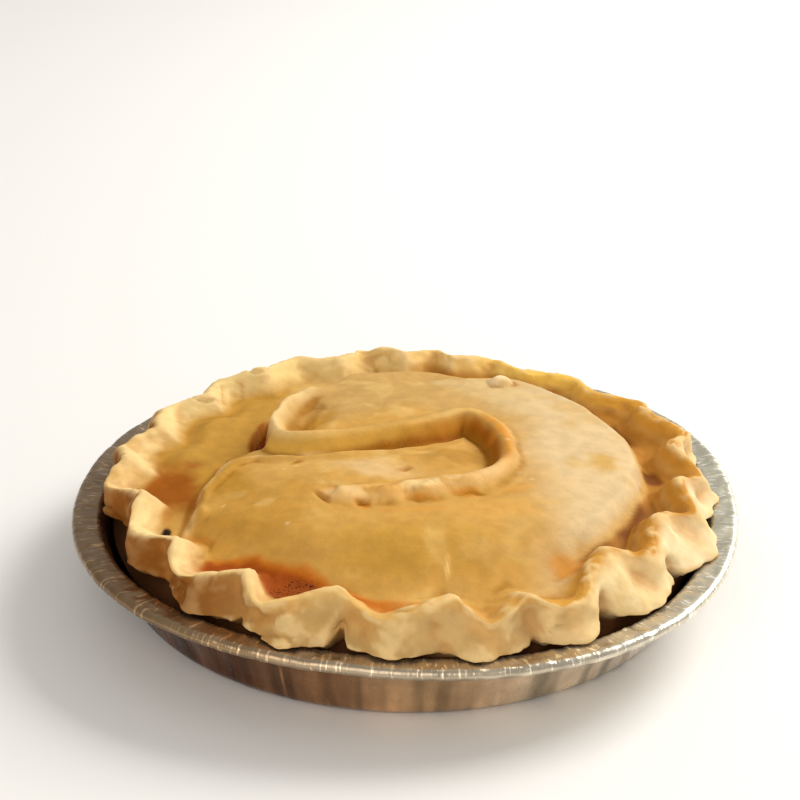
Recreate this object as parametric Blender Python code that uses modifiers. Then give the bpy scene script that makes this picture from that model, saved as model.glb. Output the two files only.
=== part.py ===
"""A home-made double-crust pie in its round foil pan.

Three solids: the foil pan, the filling, and the pastry that wraps it. The pastry is one piece, because the
lid and the base are crimped together round the edge. Its lid has an S-shaped steam cut whose edge has baked
up into a thick lip, and the filling shows down the open end of that cut.

Metres, +Z up. The origin is the centre of the pan's flat base. -Y is the side that faces the viewer.
"""

import math

import bmesh
import bpy
import numpy as np

MM = 0.001
RNG_SEED = 7

# Foil pan: a 222 mm (8 3/4 inch) pie pan, rolled edge, flat flange, sloping wall, rounded foot.
PAN_RADIUS = 111 * MM
PAN_HEIGHT = 26.5 * MM
BEAD_RADIUS = 1.6 * MM
FLANGE_INNER_RADIUS = 102.6 * MM
FLANGE_DROP = 0.7 * MM
WALL_TOP_RADIUS = 101.4 * MM
WALL_FOOT_RADIUS = 94.0 * MM
FOOT_RADIUS = 5.0 * MM
FOIL = 0.4 * MM
PAN_STEPS = 64
CREASE = 0.3 * MM
# How far the soft rim has been pushed out of round: four shallow corners, and a twist in height.
RIM_OUT_OF_ROUND = 1.8 * MM
RIM_CORNER_ANGLE = 40.0
RIM_TWIST = 1.6 * MM
RIM_TWIST_ANGLE = 27.0

# Pastry. Heights are above the table. Sizes of its surface are in mm.
CRUST_STEPS = 240
CRUST_TRIANGLES = 9200
LID_RINGS = 44
SECTION_PIECES = 2
LID_TOP = 45.5
LID_SAG = 3.2
LEFT_SLOPE = 3.0
TROUGH_HEIGHT = 33.4
SUNK_HEIGHT = 34.6
SIDE_GAP = 2.2
FIT_GAP = 0.35

# Where the lid drops to the trough inside the rim, as (angle, radius of the drop's foot, width of the drop).
# The left side has sunk beside the steam cut, so its edge lies further in there.
LID_EDGE = (
    (0, 81, 7),
    (14, 79.5, 7),
    (45, 78.5, 8),
    (62, 79, 8),
    (80, 82, 9),
    (104, 79, 12),
    (118, 66, 7),
    (135, 60, 4),
    (152, 55, 3),
    (167, 50, 2.5),
    (174, 56, 2.5),
    (180, 62.5, 3),
    (190, 66.5, 3.5),
    (200, 73, 5),
    (210, 80, 9),
    (222, 83, 18),
    (262, 84, 27),
    (300, 84, 22),
    (330, 81.5, 10),
)
# The trough lies higher at the right, and the dough has slumped against the crimps at the back left.
RIGHT_RISE = 2.0
RIGHT_RISE_ANGLE = 8.0
SLUMP_RISE = 2.6
SLUMP_ANGLES = (112.0, 184.0)
SLUMP_FADE = 18.0

# The steam cut, seen from above: an S from its top end, round the left lobe, to its bottom end.
CUT_PATH = (
    (-23, 51),
    (-36, 48),
    (-45, 39),
    (-48.5, 26),
    (-47.5, 13),
    (-42, 5),
    (-33, 2.2),
    (-23, 4.5),
    (-11, 10),
    (3, 15.5),
    (13, 22),
    (20.3, 27.8),
    (27.2, 17),
    (30.5, 2),
    (28.6, -12.5),
    (19.6, -21.4),
    (6, -25.8),
    (-9, -29.4),
    (-22, -32.2),
    (-32, -34.5),
)
# Along the cut, by share of its length: the lip's rise and half-width, the dip behind it, and the drop on the
# cut's low side. It is a rope round the left lobe and a broad roll along the bottom.
LIP_RISE = (
    (0, 0),
    (0.06, 2.2),
    (0.28, 2.6),
    (0.4, 0.8),
    (0.52, 0.6),
    (0.62, 1.5),
    (0.75, 1.9),
    (0.93, 1.6),
    (1, 0),
)
LIP_RADIUS = ((0, 2.8), (0.12, 3.5), (0.28, 3.5), (0.45, 2.6), (0.7, 2.8), (0.8, 4.6), (0.92, 5.2), (1, 3.8))
LIP_DIP = (
    (0, 0),
    (0.1, 3.2),
    (0.25, 3.0),
    (0.34, 1.0),
    (0.45, 0.3),
    (0.7, 0.6),
    (0.78, 1.2),
    (0.93, 1.0),
    (1, 0),
)
CUT_DROP = (
    (0, 0),
    (0.1, 3),
    (0.27, 3.6),
    (0.38, 4.6),
    (0.48, 6.2),
    (0.6, 7.4),
    (0.7, 6.2),
    (0.8, 3.0),
    (0.9, 1.4),
    (1, 0),
)
WALL_WIDTH = 3.2
DROP_REACH = 20.0
# The hollow inside the left lobe: its middle, half-width, half-length, slant and depth.
BOWL_PLACE = (-30, 22)
BOWL_SIZE = (9, 17)
BOWL_SLANT = 0.27
BOWL_DEPTH = 2.2
# The raised edge of the front flap.
FLAP_PATH = (
    (4, 7.5),
    (-9, 4),
    (-22, 0.5),
    (-35, -1),
    (-48, 1.2),
    (-56, 0.5),
    (-60.5, -5),
    (-64.5, -16),
    (-68, -26),
    (-68.5, -37),
    (-69.5, -47),
)
FLAP_RISE = 1.3

# The crimps. They are thumb-made, so no two are alike. Each pinch is (angle, radius of its tip, its height),
# and each lobe between two pinches is (angle, radius of its outer edge, height of the crest above it).
PINCHES = (
    (8, 89, 41.4),
    (24, 91, 41.5),
    (43, 88, 39.6),
    (62, 88, 39.8),
    (78, 88, 41.2),
    (93, 90, 41.6),
    (107, 89, 40.4),
    (126, 88, 41.2),
    (144, 88, 39.4),
    (163, 89, 39.4),
    (183, 92, 40.5),
    (200, 88, 41.0),
    (221, 92, 40.8),
    (240, 91, 40.6),
    (257, 88, 41.0),
    (279, 92, 40.2),
    (294, 95, 39.4),
    (313, 86, 41.2),
    (333, 87, 41.0),
    (351, 89, 41.2),
)
LOBES = (
    (16, 102, 38.2),
    (34, 102, 38.2),
    (52, 102, 38.2),
    (70, 101, 38.8),
    (85, 101, 39.6),
    (100, 101, 39.4),
    (116, 101, 39.2),
    (135, 100, 37.8),
    (153, 100, 37.0),
    (173, 100, 36.6),
    (190, 98.4, 36.8),
    (212, 101, 36.6),
    (232, 104, 36.2),
    (250, 106, 36.2),
    (268, 105, 36.0),
    (283, 107, 35.8),
    (300, 105, 36.2),
    (316, 105, 36.4),
    (339, 106, 36.6),
    (359, 103, 37.0),
)
# The rim's two sections as (radius, height): at a pinch, and at a lobe. Both run from the trough over the
# crest and down the skirt, which leans on the flange, into the pan.
PINCH_SECTION = (
    (79.0, 33.6),
    (81.4, 35.4),
    (84.0, 38.8),
    (86.0, 40.9),
    (87.8, 41.4),
    (90.2, 40.2),
    (92.6, 36.8),
    (94.6, 33.2),
    (96.8, 30.0),
    (98.6, 27.8),
    (98.2, 26.6),
    (96.4, 25.6),
    (95.6, 23.6),
)
LOBE_SECTION = (
    (83.5, 33.2),
    (86.8, 33.6),
    (90.2, 34.9),
    (92.8, 36.5),
    (95.0, 37.0),
    (97.4, 36.2),
    (100.2, 33.8),
    (102.2, 30.8),
    (103.6, 28.4),
    (104.0, 27.0),
    (102.6, 26.2),
    (99.4, 26.1),
    (96.4, 24.6),
)
PINCH_TIP = (87.8, 41.4)
LOBE_EDGE_RADIUS = 104.0
LOBE_CREST = 37.0
THUMB_HOLLOW = 2.4
# The thumb drags the dough along, so a pinch falls away steeply on one side. 1 is even, less is steeper.
LEAN = ((20, 1.0), (90, 0.9), (150, 0.78), (240, 0.7), (285, 0.74), (315, 0.95))
LOBE_LEAN = ((30, 1.0), (130, 1.0), (165, 0.8), (225, 0.84), (262, 0.95), (300, 1.05))
# On the left the side has shrunk away from the pan.
SHRUNK_ANGLE = 190.0
SHRUNK_BY = 2.5

# The open end of the cut, left of the S, where the filling shows: a slot through the lid.
VENT_PATH = ((-40, 51), (-48, 42), (-51.3, 28), (-50.4, 14), (-45.5, 4.5))
VENT_WIDTHS = (1.2, 3.8, 4.8, 4.4, 1.4)
VENT_FLOOR = 28 * MM

# Filling, inside the pastry.
BASE_THICKNESS = 3.4
FILLING_PROFILE = ((0, 36.0), (30, 35.4), (45, 33.5), (55, 31.0), (65, 28.5), (72, 27.2), (77, 24.0))
FILLING_SIDE = (81, 16)
FILLING_FOOT_RADIUS = 79.0
FILLING_STEPS = 48


def clear_scene():
    for obj in list(bpy.data.objects):
        bpy.data.objects.remove(obj)


def collection(name):
    made = bpy.data.collections.new(name)
    bpy.context.scene.collection.children.link(made)
    return made


def material(name, colour, roughness, metallic=0.0):
    mat = bpy.data.materials.new(name)
    mat.use_nodes = True
    shader = mat.node_tree.nodes["Principled BSDF"]
    shader.inputs["Base Color"].default_value = (*colour, 1)
    shader.inputs["Roughness"].default_value = roughness
    shader.inputs["Metallic"].default_value = metallic
    return mat


def arc(centre, radius, start, end, segments):
    """Points of an arc in the profile plane, angles in degrees."""
    angles = np.radians(np.linspace(start, end, segments + 1))
    return [(centre[0] + radius * math.cos(a), centre[1] + radius * math.sin(a)) for a in angles]


def smooth(value, low, high):
    """Runs smoothly from 0 at low to 1 at high."""
    share = np.clip((value - low) / (high - low), 0, 1)
    return share * share * (3 - 2 * share)


def turned(name, profile, steps):
    """A closed or open profile of (radius, height), turned round Z with a Screw modifier, as a plain mesh."""
    mesh = bpy.data.meshes.new(name)
    edges = [(i, i + 1) for i in range(len(profile) - 1)]
    mesh.from_pydata([(r, 0, z) for r, z in profile], edges, [])
    draft = bpy.data.objects.new(name + "_draft", mesh)
    bpy.context.scene.collection.objects.link(draft)
    screw = draft.modifiers.new("Turn", "SCREW")
    screw.steps = steps
    screw.render_steps = steps
    screw.use_merge_vertices = True
    screw.merge_threshold = 0.00005
    return as_mesh(draft, name)


def as_mesh(draft, name):
    """The draft object with its modifiers applied, as a new object of that name. The draft is removed."""
    graph = bpy.context.evaluated_depsgraph_get()
    mesh = bpy.data.meshes.new_from_object(draft.evaluated_get(graph))
    mesh.name = name
    bpy.data.objects.remove(draft)
    return bpy.data.objects.new(name, mesh)


def points_of(obj):
    """The object's vertices as an array with one row for each."""
    flat = np.empty(len(obj.data.vertices) * 3)
    obj.data.vertices.foreach_get("co", flat)
    return flat.reshape(-1, 3)


def set_points(obj, points):
    obj.data.vertices.foreach_set("co", points.astype(np.float32).ravel())
    obj.data.update()


def polar(points):
    return np.hypot(points[:, 0], points[:, 1]), np.degrees(np.arctan2(points[:, 1], points[:, 0])) % 360


def from_polar(radius, angle, height):
    turn = np.radians(angle)
    return np.stack([radius * np.cos(turn), radius * np.sin(turn), height], axis=1)


def mix(a, b, share):
    return a + (b - a) * share


def bump(value, centre, reach):
    """A round hump: 1 at centre and 0 from reach on."""
    t = np.clip((value - centre) / reach, -1, 1)
    return (1 - t * t) ** 2


def around(angle, stations, values):
    """Values at some angles, joined smoothly all the way round."""
    x = np.concatenate([np.array(stations) - 360, stations, np.array(stations) + 360])
    y = np.tile(values, 3)
    i = np.clip(np.searchsorted(x, angle, side="right") - 1, 0, len(x) - 2)
    return mix(y[i], y[i + 1], smooth(angle, x[i], x[i + 1]))


def crimp_wave(angle, crests, lean):
    """A wave round the rim: 1 at each crest angle, -1 somewhere between two. Lean 1 puts the low half-way,
    and less moves it towards the crest before. It is half cosine, half straight flanks, so the crests are
    ridges."""
    x = np.concatenate([[crests[-1] - 360], crests, [crests[0] + 360]])
    i = np.clip(np.searchsorted(x, angle, side="right") - 1, 0, len(x) - 2)
    phase = ((angle - x[i]) / (x[i + 1] - x[i])) ** lean
    return 0.5 * np.cos(2 * np.pi * phase) + 0.5 * (1 - 4 * np.minimum(phase, 1 - phase))


def out_of_round(radius, angle, height):
    """The soft foil's shape round the rim. It fades to nothing at the flat base."""
    share = smooth(height, 4 * MM, PAN_HEIGHT) * smooth(radius, 60 * MM, 95 * MM)
    corners = np.cos(np.radians(4 * (angle - RIM_CORNER_ANGLE)))
    twist = np.cos(np.radians(2 * (angle - RIM_TWIST_ANGLE)))
    return radius + RIM_OUT_OF_ROUND * share * corners, height + RIM_TWIST * share * twist


def wall_radius(height):
    """The pan's wall at that height."""
    share = (height - FOOT_RADIUS) / (PAN_HEIGHT - FLANGE_DROP - FOOT_RADIUS)
    return WALL_FOOT_RADIUS + (WALL_TOP_RADIUS - WALL_FOOT_RADIUS) * share


def make_pan():
    """Pressed foil: rolled edge, flange, creased wall and flat base, one sheet all through."""
    bead_centre = (PAN_RADIUS - BEAD_RADIUS, PAN_HEIGHT - BEAD_RADIUS)
    foot_centre = (WALL_FOOT_RADIUS - FOOT_RADIUS, FOOT_RADIUS + FOIL / 2)
    profile = arc(bead_centre, BEAD_RADIUS, -130, 90, 4)
    profile.append((FLANGE_INNER_RADIUS, PAN_HEIGHT - FLANGE_DROP))
    profile.append((WALL_TOP_RADIUS, PAN_HEIGHT - FLANGE_DROP - 1.4 * MM))
    profile.append((wall_radius(PAN_HEIGHT / 2), PAN_HEIGHT / 2))
    profile += arc(foot_centre, FOOT_RADIUS, -15, -90, 2)
    profile.append((0, FOIL / 2))
    pan = turned("pan", profile, PAN_STEPS)
    points = points_of(pan)
    radius, angle = polar(points)
    height = points[:, 2]
    wall = smooth(height, 3 * MM, 9 * MM) * (1 - smooth(height, 20 * MM, 24 * MM))
    step = np.round(angle * PAN_STEPS / 360).astype(int) % PAN_STEPS
    crease = np.random.default_rng(RNG_SEED).uniform(-1, 1, PAN_STEPS)[step]
    radius, height = out_of_round(radius + CREASE * wall * crease, angle, height)
    set_points(pan, from_polar(radius, angle, height))
    sheet = pan.modifiers.new("Foil", "SOLIDIFY")
    sheet.thickness = FOIL
    sheet.offset = 0
    pan.data.materials.append(material("foil", (0.72, 0.70, 0.66), 0.35, 1.0))
    return pan


def spline(points, per_span):
    """A smooth curve through the points (Catmull-Rom), with that many pieces to each span."""
    p = np.array(points, float)
    p = np.vstack([2 * p[0] - p[1], p, 2 * p[-1] - p[-2]])
    t = np.linspace(0, 1, per_span, endpoint=False)[:, None]
    spans = []
    for a, b, c, d in zip(p[:-3], p[1:-2], p[2:-1], p[3:]):
        cubic = (3 * b - a - 3 * c + d) * t**3
        spans.append(0.5 * (2 * b + (c - a) * t + (2 * a - 5 * b + 4 * c - d) * t**2 + cubic))
    return np.vstack([*spans, p[-2]])


def beside(x, y, path):
    """For each point: its distance to the path, positive on the path's right side and negative on its left,
    and the share of the path's length at the nearest place. Beyond its ends the path goes straight on."""
    best = np.full(x.shape, np.inf)
    side = np.ones(x.shape)
    along = np.zeros(x.shape)
    steps = np.hypot(*np.diff(path, axis=0).T)
    start = np.concatenate([[0], np.cumsum(steps)])
    last = len(steps) - 1
    for i, (a, b) in enumerate(zip(path[:-1], path[1:])):
        run = b - a
        share = ((x - a[0]) * run[0] + (y - a[1]) * run[1]) / (run @ run)
        share = np.clip(share, 0 if i else -np.inf, np.inf if i == last else 1)
        away = np.hypot(x - a[0] - share * run[0], y - a[1] - share * run[1])
        nearer = away < best
        best = np.where(nearer, away, best)
        side = np.where(nearer, np.where(run[0] * (y - a[1]) > run[1] * (x - a[0]), -1.0, 1.0), side)
        along = np.where(nearer, (start[i] + share * steps[i]) / start[-1], along)
    return best * side, np.clip(along, 0, 1)


def along_cut(along, table):
    """Values given at shares of the cut's length, joined smoothly."""
    stations, values = np.array(table).T
    i = np.clip(np.searchsorted(stations, along, side="right") - 1, 0, len(stations) - 2)
    return mix(values[i], values[i + 1], smooth(along, stations[i], stations[i + 1]))


def spread_along(x, y, path, table):
    """The same, away from the cut: every stretch of it counts by its nearness, so a lobe is smooth inside."""
    values = along_cut(np.linspace(0, 1, len(path)), table)
    away = (x[:, None] - path[:, 0]) ** 2 + (y[:, None] - path[:, 1]) ** 2
    weight = 1 / (away + 4) ** 2
    return (weight * values).sum(axis=1) / weight.sum(axis=1)


def lid_height(x, y):
    """The lid's top: a low dome that slopes off to the left, opened by the S-shaped cut with its raised lip,
    with the front flap's raised edge, and running down to the trough inside the rim."""
    radius = np.hypot(x, y)
    angle = np.degrees(np.arctan2(y, x)) % 360
    path = spline(CUT_PATH, 8)
    off, along = beside(x, y, path)
    height = LID_TOP - LID_SAG * (radius / 70) ** 2
    height = height - LEFT_SLOPE * smooth(-x, 25, 72) * (1 - smooth(y, 5, 35))
    rope = along_cut(along, LIP_RADIUS)
    low_side = smooth(off, -0.5, WALL_WIDTH)
    dip = along_cut(along, LIP_DIP) * bump(off, -2 * rope - 2.5, 7.5)
    lip = along_cut(along, LIP_RISE) * bump(off, -rope, 1.3 * rope)
    height = height - (1 - low_side) * dip + lip
    near = 1 - smooth(off, 0, DROP_REACH)
    drop = spread_along(x, y, path, CUT_DROP) * (0.45 + 0.55 * near)
    height = height - drop * low_side
    flap_off, flap_along = beside(x, y, spline(FLAP_PATH, 6))
    ends = smooth(flap_along, 0, 0.2) * (1 - smooth(flap_along, 0.9, 1))
    height = height + FLAP_RISE * ends * bump(flap_off, -2.2, 3.4)
    bowl_x = (x - BOWL_PLACE[0] - BOWL_SLANT * (y - BOWL_PLACE[1])) / BOWL_SIZE[0]
    bowl = bump(np.hypot(bowl_x, (y - BOWL_PLACE[1]) / BOWL_SIZE[1]), 0, 1)
    height = height - BOWL_DEPTH * bowl * smooth(-off, rope, 2 * rope + 2)
    stations, edges, widths = np.array(LID_EDGE).T
    edge = around(angle, stations, edges)
    width = around(angle, stations, widths)
    sunk = 1 - smooth(edge, 70, 79)
    low = TROUGH_HEIGHT + (SUNK_HEIGHT - TROUGH_HEIGHT) * sunk * (1 - smooth(radius, 62, 79))
    start, end = SLUMP_ANGLES
    slump = smooth(angle, start, start + SLUMP_FADE) * (1 - smooth(angle, end - SLUMP_FADE, end))
    low = low + SLUMP_RISE * slump * smooth(radius, 64, 82)
    low = low + RIGHT_RISE * smooth(np.cos(np.radians(angle - RIGHT_RISE_ANGLE)), 0.3, 0.8)
    return mix(low, height, smooth(edge - radius, 0, width))


def crimped_rim(angle, share):
    """Radius and height of the rim at each angle, for shares of its section. Each point is a blend of the
    pinch section and the lobe section. It follows the pinches near the crest and the lobes near the skirt."""
    pinch_angles, pinch_radii, pinch_heights = np.array(PINCHES).T
    lobe_angles, lobe_radii, crest_heights = np.array(LOBES).T
    pinch = spline(PINCH_SECTION, SECTION_PIECES)
    lobe = spline(LOBE_SECTION, SECTION_PIECES)
    row = np.round(share * (len(pinch) - 1)).astype(int)
    outer = smooth(share, 0.38, 0.72)
    even = np.ones_like(angle)
    wave_in = crimp_wave(angle, pinch_angles, around(angle, *np.array(LEAN).T))
    wave_out = -crimp_wave(angle, lobe_angles, around(angle, *np.array(LOBE_LEAN).T))
    blend = (1 + mix(wave_in, wave_out, outer)) / 2
    radius = mix(lobe[row, 0], pinch[row, 0], blend)
    height = mix(lobe[row, 1], pinch[row, 1], blend)
    tip_in = around(angle, pinch_angles, pinch_radii - PINCH_TIP[0])
    tip_out = around(angle, lobe_angles, lobe_radii - LOBE_EDGE_RADIUS)
    radius = radius + tip_in * bump(share, 0.32, 0.4) * (1 - outer) + tip_out * smooth(share, 0.45, 0.78)
    crest = bump(share, 0.34, 0.4)
    height = height + crest * blend * around(angle, pinch_angles, pinch_heights - PINCH_TIP[1])
    height = height + crest * (1 - blend) * around(angle, lobe_angles, crest_heights - LOBE_CREST)
    after_pinch = crimp_wave((angle - 5) % 360, pinch_angles, even)
    radius = radius - THUMB_HOLLOW * bump(share, 0.56, 0.2) * smooth(after_pinch, 0, 1)
    flange = flange_height(angle) - PAN_HEIGHT / MM
    return radius - shrunk(angle) * smooth(share, 0.55, 1), height + flange * smooth(share, 0.5, 0.8)


def shrunk(angle):
    """How far the side has drawn in from the pan, at each angle."""
    return SHRUNK_BY * smooth(np.cos(np.radians(angle - SHRUNK_ANGLE)), 0.3, 1.0)


def flange_height(angle):
    """Height of the soft flange at each angle, in mm."""
    _, height = out_of_round(np.full(angle.shape, 100 * MM), angle, np.full(angle.shape, PAN_HEIGHT))
    return height / MM


def crust_profile():
    """A plain turned pastry with as many points as the crimped one: lid, rim, side and base."""
    lid = [(k * 79 / LID_RINGS, 40) for k in range(LID_RINGS)]
    rim = [tuple(point) for point in spline(LOBE_SECTION, SECTION_PIECES)]
    side = [(wall_radius(z * MM) / MM - SIDE_GAP, z) for z in (20, 14, 7)]
    base = FOIL / MM + FIT_GAP
    return [(r * MM, z * MM) for r, z in lid + rim + side + [(88, 2.4), (84, base), (0, base)]]


def crimped(points, profile):
    """Moves the turned pastry's points to their places in the crimped and cut one."""
    radius, angle = polar(points)
    corners = np.array(profile)
    rows = np.hypot(radius[:, None] - corners[:, 0], points[:, 2:] - corners[:, 1]).argmin(axis=1)
    rim_rows = len(spline(LOBE_SECTION, SECTION_PIECES))
    height = points[:, 2] / MM
    radius = radius / MM
    share = np.clip((rows - LID_RINGS) / (rim_rows - 1), 0, 1)
    on_rim = (rows >= LID_RINGS) & (rows < LID_RINGS + rim_rows)
    rim_radius, rim_height = crimped_rim(angle, share)
    on_lid = rows < LID_RINGS
    trough, _ = crimped_rim(angle, np.zeros_like(angle))
    radius = np.where(on_lid, rows / LID_RINGS * trough, np.where(on_rim, rim_radius, radius))
    height = np.where(on_rim, rim_height, height)
    on_side = ~on_lid & ~on_rim & (radius > 85)
    radius = np.where(on_side, radius - shrunk(angle), radius)
    place = from_polar(radius, angle, height)
    place[on_lid, 2] = lid_height(place[on_lid, 0], place[on_lid, 1])
    least = flange_height(angle) + FOIL / MM / 2 + FIT_GAP
    over = on_rim & (radius > WALL_TOP_RADIUS / MM - 1.5)
    place[:, 2] = np.where(over, np.maximum(place[:, 2], least), place[:, 2])
    return place * MM


def make_cutter(name, lower, upper):
    """A closed prism over the vent's outline, from lower to upper."""
    path = spline(VENT_PATH, 4) * MM
    stations = np.linspace(0, len(VENT_WIDTHS) - 1, len(path))
    widths = np.interp(stations, range(len(VENT_WIDTHS)), VENT_WIDTHS) * MM
    run = np.gradient(path, axis=0)
    across = np.stack([-run[:, 1], run[:, 0]], axis=1) / np.linalg.norm(run, axis=1)[:, None]
    left = path + across * widths[:, None] / 2
    right = path - across * widths[:, None] / 2
    outline = [*map(tuple, left), *map(tuple, right[::-1])]
    curve = bpy.data.curves.new(name, "CURVE")
    curve.dimensions = "2D"
    curve.fill_mode = "BOTH"
    curve.extrude = (upper - lower) / 2
    ring = curve.splines.new("POLY")
    ring.points.add(len(outline) - 1)
    for point, (x, y) in zip(ring.points, outline):
        point.co = (x, y, 0, 1)
    ring.use_cyclic_u = True
    draft = bpy.data.objects.new(name + "_draft", curve)
    bpy.context.scene.collection.objects.link(draft)
    cutter = as_mesh(draft, name)
    points = points_of(cutter)
    points[:, 2] += (upper + lower) / 2
    set_points(cutter, points)
    weld(cutter)
    return cutter


def weld(obj):
    """Joins doubled points and turns all faces outwards."""
    shape = bmesh.new()
    shape.from_mesh(obj.data)
    bmesh.ops.remove_doubles(shape, verts=shape.verts, dist=0.00002)
    bmesh.ops.recalc_face_normals(shape, faces=shape.faces)
    shape.to_mesh(obj.data)
    shape.free()


def filling_profile(gap):
    """The filling's outline in metres, drawn in by gap, in mm, on every side."""
    floor = FOIL / MM + FIT_GAP + BASE_THICKNESS + gap
    top = [(r, z - gap) for r, z in FILLING_PROFILE]
    side = [(FILLING_SIDE[0] - gap, FILLING_SIDE[1]), (FILLING_FOOT_RADIUS - gap, floor)]
    return [(r * MM, z * MM) for r, z in [*top, *side, (0, floor)]]


def make_filling():
    filling = turned("filling", filling_profile(FIT_GAP), FILLING_STEPS)
    weld(filling)
    filling.data.materials.append(material("filling", (0.30, 0.09, 0.03), 0.35))
    return filling


def make_crust(cutters):
    profile = crust_profile()
    crust = turned("crust", profile, CRUST_STEPS)
    set_points(crust, crimped(points_of(crust), profile))
    weld(crust)
    bpy.context.scene.collection.objects.link(crust)
    thin = crust.modifiers.new("Thin", "DECIMATE")
    thin.ratio = CRUST_TRIANGLES / (2 * len(crust.data.polygons))
    crust = as_mesh(crust, "crust")
    hollow = crust.modifiers.new("Hollow", "BOOLEAN")
    hollow.operation = "DIFFERENCE"
    hollow.operand_type = "COLLECTION"
    hollow.collection = cutters
    crust.data.materials.append(material("pastry", (0.80, 0.55, 0.25), 0.6))
    return crust


def main():
    clear_scene()
    parts = collection("pie")
    cutters = collection("cutters")
    cavity = turned("cavity", filling_profile(0), FILLING_STEPS)
    weld(cavity)
    vent = make_cutter("vent", VENT_FLOOR, LID_TOP * MM + 12 * MM)
    for cutter in (cavity, vent):
        cutter.hide_render = True
        cutter.display_type = "WIRE"
        cutters.objects.link(cutter)
    for part in (make_pan(), make_filling(), make_crust(cutters)):
        parts.objects.link(part)
        part.data.shade_smooth()


main()
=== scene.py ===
# %% [markdown]
# # A home-made pie in its foil pan
# The real thing is a two-crust pie, baked in a round foil pan. Its lid has an S-shaped steam cut,
# and the dough along one side of the cut has risen into a thick lip. The edge was crimped by thumb,
# so no two folds are alike. Everything here is a height or a profile worked out with numpy as whole
# arrays, in millimetres, and then put into a mesh in metres. That suits baked dough: one formula
# for the dome, one for the cut, one for the crimps, added up.

# %% The fixed frame
import math
from functools import partial

import bpy
import numpy as np
from mathutils import Matrix, Vector


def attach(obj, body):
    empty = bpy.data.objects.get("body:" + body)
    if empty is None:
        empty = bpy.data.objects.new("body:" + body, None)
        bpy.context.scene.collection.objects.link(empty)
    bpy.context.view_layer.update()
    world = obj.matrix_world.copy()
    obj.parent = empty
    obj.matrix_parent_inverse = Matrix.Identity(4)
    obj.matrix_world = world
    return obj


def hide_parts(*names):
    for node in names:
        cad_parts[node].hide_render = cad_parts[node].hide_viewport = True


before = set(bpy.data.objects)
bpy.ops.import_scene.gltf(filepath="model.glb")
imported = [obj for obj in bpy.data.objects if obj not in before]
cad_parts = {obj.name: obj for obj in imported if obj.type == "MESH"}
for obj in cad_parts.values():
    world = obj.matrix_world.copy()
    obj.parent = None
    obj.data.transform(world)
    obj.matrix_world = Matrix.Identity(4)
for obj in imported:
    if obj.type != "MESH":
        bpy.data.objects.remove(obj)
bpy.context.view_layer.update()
MM = 0.001
print("solids:", sorted(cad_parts))

# %% [markdown]
# ## The camera
# A pie on a table is seen from above its edge, here at 27 degrees, with a long lens from about 0.7
# m. The aim point is the middle of the pie, and the camera is turned a little so that the pie sits
# low in the picture. A turned camera is chosen over a lens shift, because then the pie's near edge
# is seen as steeply as in life.

# %% Camera
CAMERA_RISE = math.radians(27.33)
CAMERA_DISTANCE = 0.70
AIM_HEIGHT = 0.02
LENS_MM = 94.14
SENSOR_MM = 36.0
FRAME_PIXELS = 800
AIM_RIGHT_PIXELS = 8.18
AIM_DOWN_PIXELS = 113.07
CAMERA_ROLL = math.radians(0.825)


def place_camera():
    """Looks along +Y and down at the aim point, then turns left and up so that the point lands off
    the centre."""
    focal = LENS_MM / SENSOR_MM * FRAME_PIXELS
    forward = Vector((0, math.cos(CAMERA_RISE), -math.sin(CAMERA_RISE)))
    right = Vector((1, 0, 0))
    up = right.cross(forward)
    turn = math.atan2(AIM_RIGHT_PIXELS, focal)
    tip = math.atan2(AIM_DOWN_PIXELS, math.hypot(focal, AIM_RIGHT_PIXELS))
    right, forward = (
        math.cos(turn) * right + math.sin(turn) * forward,
        math.cos(turn) * forward - math.sin(turn) * right,
    )
    up, forward = (
        math.cos(tip) * up - math.sin(tip) * forward,
        math.cos(tip) * forward + math.sin(tip) * up,
    )
    right, up = (
        math.cos(CAMERA_ROLL) * right + math.sin(CAMERA_ROLL) * up,
        math.cos(CAMERA_ROLL) * up - math.sin(CAMERA_ROLL) * right,
    )
    place = Vector((0, -math.cos(CAMERA_RISE), math.sin(CAMERA_RISE))) * CAMERA_DISTANCE
    place.z += AIM_HEIGHT
    lens = bpy.data.cameras.new("camera")
    lens.lens = LENS_MM
    lens.sensor_width = SENSOR_MM
    lens.clip_end = 10
    camera = bpy.data.objects.new("camera", lens)
    camera.matrix_world = Matrix.Translation(place) @ Matrix((right, up, -forward)).transposed().to_4x4()
    bpy.context.scene.collection.objects.link(camera)
    bpy.context.scene.camera = camera
    return camera


camera = place_camera()
print("camera at", [round(c, 3) for c in camera.location])

# %% [markdown]
# ## Helpers
# Three small tools do most of the shaping. A smooth step blends two forms, a curve round the pie
# joins values that are known at some angles, and lattice noise gives the unevenness of real dough.

# %% Blends and curves


def smooth(value, low, high):
    """Runs smoothly from 0 at low to 1 at high: 3t^2 - 2t^3 of the clipped share t."""
    t = np.clip((value - low) / (high - low), 0, 1)
    return t * t * (3 - 2 * t)


def bump(value, centre, reach):
    """A round hump: 1 at centre, 0 from reach on, (1 - t^2)^2 between."""
    t = np.clip((value - centre) / reach, -1, 1)
    return (1 - t * t) ** 2


def between(value, start, full, fall, end):
    """Rises from 0 at start to 1 at full, stays, and falls again from fall to 0 at end."""
    return smooth(value, start, full) * (1 - smooth(value, fall, end))


def mix(a, b, share):
    """Goes from a to b as the share goes from 0 to 1."""
    return a + (b - a) * share


def around(angle, stations, values):
    """Values known at some angles, in degrees, joined by smooth steps all the way round."""
    x = np.concatenate([np.array(stations) - 360, stations, np.array(stations) + 360])
    y = np.tile(values, 3)
    i = np.clip(np.searchsorted(x, angle, side="right") - 1, 0, len(x) - 2)
    return mix(y[i], y[i + 1], smooth(angle, x[i], x[i + 1]))


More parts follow.
